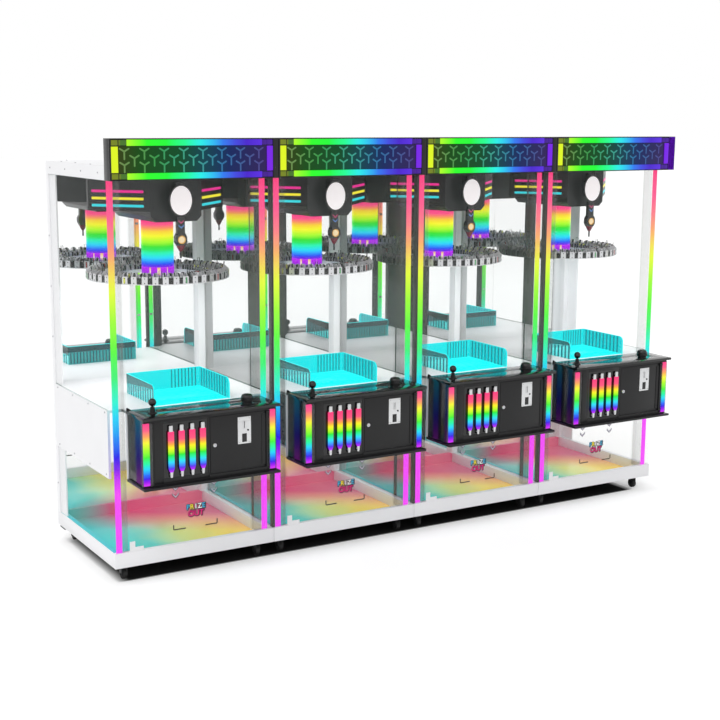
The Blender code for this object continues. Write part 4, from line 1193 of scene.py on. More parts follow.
def clip_ring():
    """The hoops, the clips round them, the links between clips and a few labels."""
    ring_rims()
    rng = random.Random(7)
    base = one_clip().mesh("clip", M.chrome, M.black_plastic)
    whole = Shape()
    for i in range(CLIPS):
        lean = Matrix.Translation((TROUGH, 0, 0)) @ Matrix.Rotation(math.radians(rng.uniform(-3, 3)), 4,
                                                                    "Z")
        lean = lean @ Matrix.Translation((-TROUGH, 0, 0))
        whole.copies(base, [turned_at((*CENTRE, 0), 360 / CLIPS * i) @ lean])
    whole.stand("clips", "clip_metal", M.chrome, M.black_plastic, body="ring")

    # Links between clips: short dark blocks, pins and wire latches of different heights
    links = Shape()
    for i in range(CLIPS):
        turn = turned_at((*CENTRE, 0), 360 / CLIPS * (i + 0.5))
        low = RING.bottom + 0.0056
        links.box((TROUGH + 0.026, TROUGH + 0.044), (-0.0045, 0.0045),
                  (low, low + rng.choice((0.02, 0.032, 0.044))),
                  bevel=0.001, turn=turn, finish=rng.choice((0, 1, 1)))
        links.box((RING_INNER + 0.01, RING_INNER + 0.03), (-0.0035, 0.0035),
                  (low, low + rng.uniform(0.02, 0.036)),
                  bevel=0.001, turn=turn, finish=rng.choice((0, 1)))
        links.rod((TROUGH + 0.05, 0, low + 0.008), 0.0034, 0.026, "Z", 8, turn=turn,
                  finish=rng.choice((0, 0, 1)))
        if i % 3 == 0:
            reach = TROUGH + rng.uniform(0.03, 0.044)
            wire = [(reach, -0.006, low + 0.03), (reach + 0.004, -0.006, low + 0.06),
                    (reach + 0.004, 0.006, low + 0.06),
                    (reach, 0.006, low + 0.03)]
            links.tube(wire, 0.0014, 6, turn=turn, finish=rng.choice((0, 1)))
    links.stand("clip_links", "clip_metal", M.chrome, M.black_plastic, body="ring")

    # A few coloured labels on the tabs and the jaws
    accents = Shape()
    labelled = {1: 1, 2: 1, 8: 0, 15: 2, 20: 0, 21: 0, 27: 1, 33: 0, 37: 2, 41: 1}
    for i, finish in labelled.items():
        turn = turned_at((*CENTRE, 0), 360 / CLIPS * i)
        accents.prism(rounded(-0.004, 0.004, RING.bottom + 0.006, RING.bottom + 0.034, 0.001, 2),
                      RING_RADIUS - 0.0026, RING_RADIUS - 0.0014, "X", turn=turn, finish=finish,
                      bevel=0.0003)
        accents.box((TROUGH + 0.024, TROUGH + 0.042), (0.0108, 0.0126),
                    (RING.bottom + 0.03, RING.bottom + 0.05),
                    turn=turn, finish=finish, bevel=0.0004)
        accents.box((RING_INNER + 0.014, RING_INNER + 0.036), (-0.011, -0.0094),
                    (RING.bottom + 0.024, RING.bottom + 0.042), turn=turn, finish=finish, bevel=0.0004)
    accents.stand("clip_tags", "clip_metal", M.green, M.yellow, M.red, body="ring")


# ---------------------------------------------------------------- poker


def poker():
    """From the bottom: tip, cone, collar with its lens, flat arm with chevrons, and rod."""
    cx, cy = POKER.x, POKER.y
    tip = POKER.bottom
    cone_low = tip + 0.032
    collar_low = cone_low + 0.026
    collar_high = collar_low + 0.058
    arm_high = collar_high + 0.078
    steel = Shape()
    steel.turned(
        [(0, tip), (0.003, tip + 0.0006), (0.0042, tip + 0.003), (0.0042, cone_low + 0.002),
         (0, cone_low + 0.002)],
        (cx, cy, 0), "Z", 20,
    )
    steel.turned([(0, arm_high - 0.002), (0.0068, arm_high - 0.002), (0.0068, POKER.top - 0.001),
                  (0.0058, POKER.top), (0, POKER.top)], (cx, cy, 0), "Z", 24)
    steel.stand("poker_rod", "poker_metal", M.steel, body="poker")

    cone = Shape()
    cone.turned(
        [(0, cone_low), (0.0055, cone_low), (0.0085, cone_low + 0.003), (0.015, cone_low + 0.015),
         (0.02, collar_low), (0.019, collar_low + 0.003), (0, collar_low + 0.003)],
        (cx, cy, 0), "Z", 32,
    )
    cone.stand("poker_cone", "poker_metal", M.crimson, body="poker")

    # A six-sided collar, a gold rim on its front and a pale lens
    middle = (collar_low + collar_high) / 2
    collar = Shape()
    tall = (collar_high - collar_low) / 2
    outline = [
        (cx - 0.0165, middle - tall), (cx + 0.0165, middle - tall), (cx + 0.0275, middle - tall * 0.35),
        (cx + 0.0275, middle + tall * 0.45), (cx + 0.019, middle + tall), (cx - 0.019, middle + tall),
        (cx - 0.0275, middle + tall * 0.45), (cx - 0.0275, middle - tall * 0.35),
    ]
    collar.prism(outline, cy - 0.015, cy + 0.015, "Y", bevel=0.0025, segments=3)
    collar.stand("poker_collar", "poker_metal", M.black_gloss, body="poker", replaces="poker")
    front = cy - 0.015
    rim = Shape()
    rim.turned([(0.015, -0.0016), (0.019, -0.0016), (0.0198, 0.0004), (0.0142, 0.0004)],
               (cx, front, middle), "Y", 40,
               hollow=True)
    rim.stand("poker_rim", "poker_metal", M.gold, body="poker")
    lens = Shape()
    lens.turned([(0, -0.0036), (0.006, -0.0031), (0.011, -0.0018), (0.0148, 0.0002), (0, 0.0002)],
                (cx, front, middle), "Y", 40)
    warm = glow("poker_lens", plain_stops(linear(255, 232, 190)), strength=0.7, base=0.3)
    lens.stand("poker_lens", "poker_metal", warm, body="poker")

    arm = Shape()
    half, deep = 0.019, 0.012
    arm.box((cx - half, cx + half), (cy - deep, cy + deep), (collar_high - 0.003, arm_high), bevel=0.002,
            segments=3)
    arm.stand("poker_arm", "poker_metal", M.black_gloss, body="poker")
    for name, colour, rise in (("pink", (250, 90, 150), 0.052), ("blue", (110, 170, 255), 0.03)):
        chevron = Shape()
        z = collar_high + rise
        line = 0.0022
        outline = [
            (cx - 0.0135, z + 0.01), (cx, z - 0.0035), (cx + 0.0135, z + 0.01),
            (cx + 0.0135, z + 0.01 - line * 1.5),
            (cx, z - 0.0035 - line * 1.5), (cx - 0.0135, z + 0.01 - line * 1.5),
        ]
        chevron.prism(outline, cy - deep - 0.0006, cy - deep + 0.0002, "Y")
        chevron.stand(f"poker_chevron_{name}", "poker_metal",
                      glow(f"chevron_{name}", plain_stops(linear(*colour))), body="poker")


# ---------------------------------------------------------------- tray


TRAY_WALL = 0.005
TRAY_CORNER = 0.03
# The left wall is darker above a slanting edge and clearer below it, at these heights
EDGE_BACK = TRAY.top - 0.49 * (TRAY.top - TRAY.bottom)
EDGE_FRONT = TRAY.top - 0.2 * (TRAY.top - TRAY.bottom)


def tray():
    """Edge-lit acrylic walls with fine ribs and shining rims, round a lit floor and the drop hole."""
    tray_walls()
    tray_ribs()
    tray_rims()
    tray_floor()


def tray_side(inset):
    """A side wall seen from the side, with its front top corner rounded."""
    front, corner = TRAY.front, TRAY_CORNER
    points = [(front + inset, TRAY.bottom)]
    steps = 10
    for i in range(steps + 1):
        turn = math.pi / 2 * i / steps
        points.append((front + corner - (corner - inset) * math.cos(turn),
                       TRAY.top - corner + (corner - inset) * math.sin(turn)))
    return [*points, (TRAY.back, TRAY.top - inset), (TRAY.back, TRAY.bottom)]


def tray_walls():
    wall = TRAY_WALL
    shade = pane("tray_side", linear(30, 84, 88), 0.6, 0.04)
    clear = pane("tray_side_clear", linear(206, 240, 244), 0.2, 0.04)
    right_lit = glow("tray_right", plain_stops(linear(0, 214, 220)), strength=0.84, base=0.25,
                     roughness=0.14,
                     alpha=0.86)
    back_lit = glow("tray_back", plain_stops(linear(0, 232, 236)), strength=0.86, base=0.25, roughness=0.14,
                    alpha=0.9)
    whole = tray_side(0.0012)
    upper = [point for point in whole if point[1] > EDGE_FRONT]
    upper += [(TRAY.back, EDGE_BACK), (TRAY.front + 0.006, EDGE_FRONT)]
    lower = [
        (TRAY.front + 0.0012, TRAY.bottom), (TRAY.front + 0.0012, TRAY.top - TRAY_CORNER),
        (TRAY.front + 0.006, EDGE_FRONT - 0.0004), (TRAY.back, EDGE_BACK - 0.0004),
        (TRAY.back, TRAY.bottom),
    ]
    left_wall, left_foot, right_wall, rear = Shape(), Shape(), Shape(), Shape()
    left_wall.prism(upper, TRAY.left, TRAY.left + wall, "X")
    left_wall.stand("tray_left", "teal_acrylic", shade, replaces="tray")
    left_foot.prism(lower, TRAY.left, TRAY.left + wall, "X")
    left_foot.stand("tray_left_foot", "teal_acrylic", clear)
    right_wall.prism(whole, TRAY.right - wall, TRAY.right - 0.0006, "X", bevel=0.0003)
    right_wall.stand("tray_right", "teal_acrylic", right_lit)
    rear.box((TRAY.left + wall, TRAY.right - wall), (TRAY.back - wall, TRAY.back - 0.0006),
             (TRAY.bottom, TRAY.top - 0.0012), bevel=0.0003)
    rear.stand("tray_rear", "teal_acrylic", back_lit)

    # From outside, the right and rear walls are dark at the top and dull teal below
    high_band = surface("tray_outside_top", linear(18, 74, 76), 0.12)
    low_band = surface("tray_outside", linear(24, 150, 150), 0.12, lit=0.25)
    outside = Shape()
    split = TRAY.top - 0.032
    for z, finish in (((split, TRAY.top - 0.002), 0), ((TRAY.bottom + 0.0005, split - 0.0002), 1)):
        outside.box((TRAY.left + 0.001, TRAY.right - 0.0006), (TRAY.back - 0.0005, TRAY.back), z,
                    finish=finish)
        outside.box((TRAY.right - 0.0005, TRAY.right), (TRAY.front + 0.032, TRAY.back), z, finish=finish)
    outside.stand("tray_outside", "teal_acrylic", high_band, low_band)


def tray_ribs():
    """Ribs outside the left wall below its slanting edge, inside the right one, and on the back one."""
    wall, corner, proud, sunk = TRAY_WALL, TRAY_CORNER, 0.0006, 0.0002
    rib = Shape()
    side_pitch, rear_pitch, rear_rib = 0.03, 0.018, 0.0058
    low = TRAY.bottom + 0.002
    depth = TRAY.back - TRAY.front
    for i in range(int((depth - 0.012) / side_pitch)):
        y = TRAY.front + 0.006 + i * side_pitch
        into = max(0.0, TRAY.front + corner - y)
        high = TRAY.top - corner + math.sqrt(corner * corner - into * into) - 0.002
        share = (y - TRAY.front) / depth
        foot_high = EDGE_FRONT + (EDGE_BACK - EDGE_FRONT) * share - 0.002
        rib.box((TRAY.left - proud, TRAY.left + sunk), (y, y + 0.0135), (low, min(high, foot_high)),
                finish=2)
        if share > 0.08:
            inner = TRAY.right - wall
            rib.box((inner - proud, inner + sunk), (y, y + 0.012), (low, high), finish=1)
    tall = (low, TRAY.top - 0.002)
    for i in range(int((TRAY.right - TRAY.left - 0.02) / rear_pitch)):
        x = TRAY.left + 0.012 + i * rear_pitch
        rib.box((x, x + rear_rib), (TRAY.back - sunk, TRAY.back + proud), tall)
        # The back wall's inner face carries them only near the right wall
        if TRAY.right - 0.16 < x < TRAY.right - wall - 0.008:
            inner = TRAY.back - wall
            rib.box((x, x + rear_rib), (inner - proud, inner + sunk), tall, finish=1)
    dark = surface("tray_rib", linear(20, 86, 96), 0.2, vary=0.1)
    soft = surface("tray_rib_soft", linear(0, 118, 126), 0.2, vary=0.1, lit=0.4)
    side = surface("tray_rib_side", linear(10, 108, 116), 0.2, vary=0.1, lit=0.2)
    rib.stand("tray_ribs", "teal_acrylic", dark, soft, side)


def tray_rims():
    """The walls' cut edges, which shine."""
    wall, thick = TRAY_WALL, 0.0014
    rim = Shape()
    for x in (TRAY.left, TRAY.right - wall):
        inner, outer = tray_side(thick), tray_side(0.0)
        rim.prism([*outer[:-1], *reversed(inner[:-1])], x - 0.0002, x + wall + 0.0002, "X")
    rim.box((TRAY.left + wall, TRAY.right - wall), (TRAY.back - wall, TRAY.back),
            (TRAY.top - thick, TRAY.top))
    bright = glow("tray_rim", plain_stops(linear(0, 250, 250)), strength=0.85, base=0.3)
    rim.stand("tray_rims", "teal_acrylic", bright)


def tray_floor():
    """The lit floor, and the sleeve that lines the hole prizes drop through."""
    lit = glow("tray_floor_light", plain_stops(linear(0, 255, 255)), base=0.15)
    floor = Shape()
    gap = TRAY_WALL + 0.0002
    floor.box((TRAY.left + gap, TRAY.right - gap), (HOLE.back + 0.0004, TRAY.back - gap),
              (TRAY.bottom, TRAY.bottom + 0.004), bevel=0.0004)
    floor.stand("tray_floor", "teal_acrylic", lit)

    sleeve, loose = 0.0042, 0.0003
    chute = Shape()
    drop = (DECK - 0.075, DECK + 0.003)
    across, deep = (HOLE.left + sleeve, HOLE.right - sleeve), (HOLE.front, HOLE.back)
    chute.boxes(
        ((HOLE.left + loose, HOLE.left + sleeve), deep, drop),
        ((HOLE.right - sleeve, HOLE.right - loose), deep, drop),
        (across, (HOLE.front + loose, HOLE.front + sleeve), drop),
        (across, (HOLE.back - sleeve, HOLE.back - loose), drop),
    )
    chute.stand("drop_chute", "teal_acrylic", lit)


# ---------------------------------------------------------------- control box


def control_box():
    """The box on the front: its shell round the coin door's opening, hinge lugs and lid."""
    wall = 0.005
    shell = Shape()
    door_left, door_right = DOOR.left - 0.0015, DOOR_RIGHT + 0.0015
    low, high = BOX.bottom + LID_THICKNESS, LID - LID_THICKNESS
    door_low, door_high = DOOR.bottom - 0.0015, DOOR.top + 0.0015
    front = BOX_FRONT
    back = BOX.back
    shell.box((BOX_LEFT, BOX_LEFT + wall), (front, back), (low, high), finish=1)
    shell.box((BOX_RIGHT - wall, BOX_RIGHT), (front, back), (low, high), finish=1)
    shell.box((BOX_LEFT + wall, BOX_RIGHT - wall), (back - wall, back), (low, high))
    skin, doorway = (front, front + wall), (door_left, door_right)
    shell.boxes(
        ((BOX_LEFT + wall, door_left), skin, (low, high)),
        ((door_right, BOX_RIGHT - wall), skin, (low, high)),
        (doorway, skin, (door_high, high)), (doorway, skin, (low, door_low)),
    )
    bottom = (BOX.bottom, BOX.bottom + LID_THICKNESS)
    shell.box((BOX.left, BOX.right), (BOX.front, back), bottom, bevel=0.002)
    # Hinge lugs, rounded about the coin door's hinge
    lug = [(HINGE_X + 0.0003, front + 0.0004), (HINGE_X + 0.012, front + 0.0004),
           (HINGE_X + 0.012, front - 0.01)]
    for i in range(11):
        turn = -math.pi / 2 - math.pi * i / 10
        lug.append((HINGE_X + HINGE_RADIUS * math.cos(turn),
                    front - HINGE_RISE + HINGE_RADIUS * math.sin(turn)))
    for low_z, high_z in ((DOOR.bottom, DOOR.bottom + 0.01), (DOOR.top - 0.01, DOOR.top)):
        shell.prism(lug, low_z, high_z, "Z", bevel=0.0006)
    shell.stand("control_shell", "black_panel", M.black, M.black_side, replaces="control_box")

    # The lid's slab is cut round the joystick and the button
    lid = Shape()
    lid_slab(lid)
    lid.stand("control_lid", "black_panel", M.black_gloss)

    seams()
    tubes()
    columns()


def lid_slab(shape):
    """The lid as a bevelled slab with two round holes: its outline and the holes filled with triangles, then
    pushed down to its thickness.
    """
    outline = rounded(BOX.left, BOX.right, BOX.front, BOX.back, 0.004, 3)
    part = bmesh.new()
    ring = [part.verts.new((a, b, LID)) for a, b in outline]
    loops = [ring]
    for x, y, radius in ((STICK.x, STICK.y, 0.0158), (BUTTON.x, BUTTON.y, 0.0243)):
        steps = 28
        loops.append([
            part.verts.new((x + radius * math.cos(-2 * math.pi * i / steps),
                            y + radius * math.sin(-2 * math.pi * i / steps), LID))
            for i in range(steps)
        ])
    rims = []
    for loop in loops:
        rims += [part.edges.new((loop[i], loop[(i + 1) % len(loop)])) for i in range(len(loop))]
    bmesh.ops.triangle_fill(part, use_beauty=True, edges=rims)
    faces = list(part.faces)
    made = bmesh.ops.extrude_face_region(part, geom=faces)
    moved = [v for v in made["geom"] if isinstance(v, bmesh.types.BMVert)]
    bmesh.ops.translate(part, verts=moved, vec=(0, 0, -LID_THICKNESS))
    shape.add(part, bevel=0.0012, segments=2)


def seams():
    """Plates that stand 1.5 mm proud on the box's front, so that dark joints show between them."""
    front = BOX_FRONT
    low, high = BOX.bottom + LID_THICKNESS + 0.008, LID - LID_THICKNESS - 0.008
    plates = Shape()
    thick = (front - 0.0015, front + 0.0002)
    frame_left, frame_right = 0.1285, DOOR.left - 0.004
    window = (0.17, 0.388, 0.528, 0.782)
    # A frame round the tubes' window
    across = window[:2]
    plates.boxes(
        ((frame_left, window[0]), thick, (low, high)), ((window[1], frame_right), thick, (low, high)),
        (across, thick, (window[3], high)), (across, thick, (low, window[2])),
        bevel=0.0006,
    )
    plates.stand("front_plates", "black_panel", M.black)

    screws = Shape()
    lid_screw = [(0, 0), (0.0042, 0), (0.0042, 0.0004), (0.003, 0.0012), (0, 0.0014)]
    for x in (BOX.left + 0.018, (BOX.left + BOX.right) / 2, BOX.right - 0.018):
        screws.turned(lid_screw, (x, BOX.front + 0.012, LID), "Z", 16)
    for x in (0.126, DOOR.left - 0.012):
        for z in (low + 0.01, high - 0.01):
            screws.screw((x, front - 0.0015, z), "Y", -1, radius=0.0028)
    screws.stand("control_screws", "dark_steel", M.steel, M.black)


def tubes():
    """Four crayon-shaped light tubes, each with a silver cap and tip, on a dark back plate."""
    front = BOX_FRONT
    plate = Shape()
    plate.prism(rounded(0.171, 0.387, 0.529, 0.781, 0.004), front - 0.0008, front + 0.0004, "Y",
                bevel=0.0003)
    plate.stand("tube_plate", "black_panel", M.black_gloss)

    stops = [
        (0.0, (255, 64, 130)), (0.2, (255, 92, 130)), (0.3, (255, 170, 70)), (0.38, (255, 244, 40)),
        (0.48, (190, 255, 40)), (0.57, (50, 240, 50)), (0.66, (40, 246, 170)), (0.74, (50, 226, 255)),
        (0.84, (70, 140, 255)), (0.9, (90, 50, 240)), (1.0, (206, 50, 255)),
    ]
    body_top, taper, body_low = 0.743, 0.571, 0.556
    lit = glow("tube_light", rising(stops), "Z", body_low, body_top, strength=0.95)
    y = front - 0.0115
    glowing, caps = Shape(), Shape()
    half = 0.0146
    flat = 0.58  # the tubes are flattened front to back
    for i in range(4):
        x = 0.2052 + i * 0.0517
        squash = Matrix.Translation((x, y, 0)) @ Matrix.Diagonal((1, flat, 1, 1))
        glowing.turned(
            [(0, body_low), (half * 0.5, body_low), (half * 0.62, body_low + 0.002), (half * 0.97, taper),
             (half, taper + 0.004), (half, body_top - 0.003), (half - 0.002, body_top), (0, body_top)],
            (0, 0, 0), "Z", 28, turn=squash,
        )
        caps.turned(
            [(0, body_top), (0.0102, body_top), (0.0102, body_top + 0.004), (0.0094, body_top + 0.006),
             (0.0094, body_top + 0.024), (0.008, body_top + 0.027), (0, body_top + 0.027)],
            (0, 0, 0), "Z", 24, turn=squash,
        )
        caps.turned(
            [(0, body_low - 0.025), (0.0052, body_low - 0.025), (0.0064, body_low - 0.022),
             (0.0078, body_low),
             (0, body_low)],
            (0, 0, 0), "Z", 24, turn=squash,
        )
        for z in (body_top + 0.013, body_low - 0.012):
            caps.box((x - 0.0055, x + 0.0055), (y + 0.003, front - 0.0006), (z - 0.004, z + 0.004),
                     bevel=0.0006)
    glowing.stand("light_tubes", "light_diffuser", lit)
    caps.stand("tube_caps", "clip_metal", M.brushed)


COLUMN_STOPS = [
    (0.0, (255, 72, 144)), (0.1, (255, 96, 140)), (0.2, (255, 166, 100)), (0.3, (250, 246, 60)),
    (0.42, (170, 255, 50)), (0.54, (70, 246, 60)), (0.64, (40, 246, 170)), (0.72, (40, 220, 250)),
    (0.82, (44, 110, 250)), (0.88, (60, 30, 236)), (0.93, (150, 20, 240)), (1.0, (226, 60, 250)),
]


def columns():
    """The lit columns at the box's two front corners, each in a clear cover."""
    low, high = 0.506, 0.79
    lit = glow("column_light", rising(COLUMN_STOPS), "Z", low, high)
    front = BOX_FRONT
    bars, covers = Shape(), Shape()
    for left, right, pad in ((0.0735, 0.104, (0.005, 0.014)), (0.7025, 0.7295, (0.006, 0.005))):
        bars.box((left, right), (front - 0.01, front - 0.0002), (low, high), bevel=0.0025, segments=3)
        for x in ((left - pad[0], left - 0.0004), (right + 0.0004, right + pad[1])):
            covers.box(x, (front - 0.0085, front - 0.0001), (low - 0.003, high + 0.003), bevel=0.0012)
    bars.stand("column_light", "light_diffuser", lit)
    covers.stand("column_cover", "clear_acrylic", M.cover)


def coin_door():
    """The door leaf, its hinge, the silver coin plate with slot, return and screws, and the lock."""
    front = BOX_FRONT
    leaf = Shape()
    leaf.box((DOOR.left, DOOR_RIGHT), (front - 0.0012, front + 0.008), (DOOR.bottom, DOOR.top),
             bevel=0.0012)
    barrel = (DOOR.bottom + 0.0104, DOOR.top - 0.0104)
    hinge_y = front - HINGE_RISE
    leaf.rod((HINGE_X, hinge_y, barrel[0]), HINGE_RADIUS, barrel[1] - barrel[0], "Z", 20, edge=0.0006)
    leaf.box((DOOR_RIGHT - 0.024, HINGE_X), (front - 0.003, front), (barrel[0] + 0.002, barrel[1] - 0.002),
             bevel=0.0006)
    for z in (barrel[0] + 0.02, (barrel[0] + barrel[1]) / 2, barrel[1] - 0.02):
        leaf.screw((DOOR_RIGHT - 0.016, front - 0.003, z), "Y", -1, radius=0.0028, finish=1)
    leaf.stand("coin_door_leaf", "black_panel", M.black, M.steel, M.black, body="coin_door",
               replaces="coin_door")

    left, right = 0.539, 0.606
    low, high = 0.642, 0.769
    face = front - 0.003
    plate = Shape()
    middle = (left + right) / 2
    slot = (middle - 0.00175, middle + 0.00175, 0.7159, 0.7459)
    deep = (face, front - 0.001)
    cup = (middle - 0.012, middle + 0.012, 0.65, 0.69)
    beside_slot, beside_cup = slot[2:], cup[2:]
    plate.box((left, right), deep, (slot[3], high), bevel=0.0008)
    plate.boxes(
        ((left, slot[0]), deep, beside_slot), ((slot[1], right), deep, beside_slot),
        ((left, right), deep, (cup[3], slot[2])),
        ((left, cup[0]), deep, beside_cup), ((cup[1], right), deep, beside_cup),
    )
    plate.box((left, right), deep, (low, cup[2]), bevel=0.0008)
    bezel = (face - 0.0028, face + 0.0002)
    for x in ((slot[0] - 0.005, slot[0]), (slot[1], slot[1] + 0.005)):
        plate.box(x, bezel, (slot[2] - 0.003, slot[3] + 0.003), bevel=0.001)
    for x in (left + 0.008, right - 0.008):
        for z in (low + 0.008, high - 0.008):
            plate.screw((x, face, z), "Y", -1, radius=0.0032)
    plate.stand("coin_plate", "clip_metal", M.brushed, M.black, body="coin_door")

    dark = Shape()
    lining = (front - 0.0014, front - 0.0009)
    dark.boxes((slot[:2], lining, beside_slot), (cup[:2], lining, beside_cup))
    dark.prism([(cup[0] + 0.002, cup[2] + 0.004), (cup[1] - 0.002, cup[2] + 0.004),
                (cup[1] - 0.004, cup[3] - 0.008),
                (cup[0] + 0.004, cup[3] - 0.008)], face - 0.001, front - 0.0012, "Y", bevel=0.0005)
    dark.rod((middle + 0.018, face - 0.003, 0.705), 0.0042, 0.0034, "Y", 18)
    dark.stand("coin_return", "black_plastic", M.black_plastic, body="coin_door")

    lock = Shape()
    spot = (DOOR.left + 0.022, front - 0.0012, (DOOR.bottom + DOOR.top) / 2)
    lock.turned([(0, -0.0042), (0.0062, -0.0042), (0.0085, -0.003), (0.01, 0), (0, 0)], spot, "Y", 28)
    lock.box((spot[0] - 0.0007, spot[0] + 0.0007), (spot[1] - 0.0046, spot[1] - 0.0038),
             (spot[2] - 0.0035, spot[2] + 0.0035),
             finish=1)
    lock.stand("coin_door_lock", "clip_metal", M.zinc, M.black, body="coin_door")


def joystick():
    """The ball, the shaft with its boots, and the collar in the lid."""
    x, y = STICK.x, STICK.y
    ball_z = STICK.top - 0.018
    pivot = LID - LID_THICKNESS / 2
    ball = Shape()
    profile = [(0, ball_z - 0.018)]
    for i in range(1, 17):
        turn = -math.pi / 2 + math.pi * i / 17
        profile.append((0.0177 * math.cos(turn), ball_z + 0.018 * math.sin(turn)))
    profile.append((0, STICK.top))
    ball.turned(profile, (x, y, 0), "Z", 36)
    ball.stand("joystick_ball", "black_plastic", M.black_gloss, body="stick", replaces="joystick", sharp=60)
    shaft = Shape()
    shaft.turned([(0, STICK.bottom), (0.005, STICK.bottom), (0.005, ball_z - 0.014),
                  (0.0075, ball_z - 0.0165),
                  (0, ball_z - 0.012)], (x, y, 0), "Z", 20)
    boot = []
    for i in range(13):
        turn = -math.pi * 0.38 + math.pi * 0.76 * i / 12
        boot.append((0.0152 * math.cos(turn), pivot + 0.0152 * math.sin(turn)))
    shaft.turned([(0, boot[0][1]), *boot, (0, boot[-1][1])], (x, y, 0), "Z", 28, finish=1)
    # Pleated dust boot on the shaft
    pleats = [(0, LID + 0.0022)]
    for i in range(6):
        z = LID + 0.0022 + i * 0.0042
        wide = 0.0128 - i * 0.0005
        pleats += [(wide - 0.0012, z), (wide, z + 0.0012), (wide, z + 0.0026), (wide - 0.0012, z + 0.0038)]
    pleats.append((0, pleats[-1][1]))
    shaft.turned(pleats, (x, y, 0), "Z", 28, finish=1)
    shaft.stand("joystick_shaft", "black_plastic", M.steel, M.rubber, body="stick")
    collar = Shape()
    collar.turned([(0.0161, LID - 0.0002), (0.0215, LID - 0.0002), (0.0212, LID + 0.002),
                   (0.0195, LID + 0.0029),
                   (0.0161, LID + 0.0029)], (x, y, 0), "Z", 40, hollow=True)
    collar.stand("joystick_collar", "black_plastic", M.black_plastic)


def push_button():
    """A flat-topped cap in two tiers on its stem."""
    x, y = BUTTON.x, BUTTON.y
    cap = LID + 0.0046
    dome = Shape()
    radius, stem = 0.0298, 0.0238
    crown_radius, crown_low = radius - 0.0046, cap + 0.025
    profile = [
        (0, BUTTON.bottom), (stem, BUTTON.bottom), (stem, cap), (radius - 0.0012, cap),
        (radius, cap + 0.0012),
        (radius, cap + 0.013), (radius - 0.0012, cap + 0.014), (radius - 0.0036, cap + 0.0144),
        (radius - 0.0036, cap + 0.0164), (radius - 0.001, cap + 0.0168), (radius - 0.0008, cap + 0.018),
        (crown_radius, crown_low),
    ]
    for i in range(1, 8):
        turn = math.pi / 2 * i / 8
        rise = (BUTTON.top - crown_low) * math.sin(turn)
        profile.append((crown_radius * math.cos(turn), crown_low + rise))
    profile.append((0, BUTTON.top))
    dome.turned(profile, (x, y, 0), "Z", 40)
    dome.stand("button_dome", "black_plastic", M.black_plastic, body="push_button", replaces="button",
               sharp=40)


# ---------------------------------------------------------------- prize door and its signs


def flat_words(text, size, middle, depth):
    """Bold upright lettering on a plane that looks along -Y, centred on a point."""
    curve = bpy.data.curves.new("words", "FONT")
    curve.body = text
    curve.size = size
    curve.align_x = "CENTER"
    curve.align_y = "CENTER"
    curve.extrude = depth / 2
    curve.offset = WORD_WEIGHT
    thing = bpy.data.objects.new("words", curve)
    bpy.context.scene.collection.objects.link(thing)
    bpy.context.view_layer.update()
    seen = thing.evaluated_get(bpy.context.evaluated_depsgraph_get())
    mesh = bpy.data.meshes.new_from_object(seen)
    bpy.data.objects.remove(thing)
    bpy.data.curves.remove(curve)
    mesh.transform(Matrix.Translation(middle) @ Matrix.Rotation(math.pi / 2, 4, "X"))
    return mesh


WORD_WEIGHT = 0.0006  # how far the letters are fattened


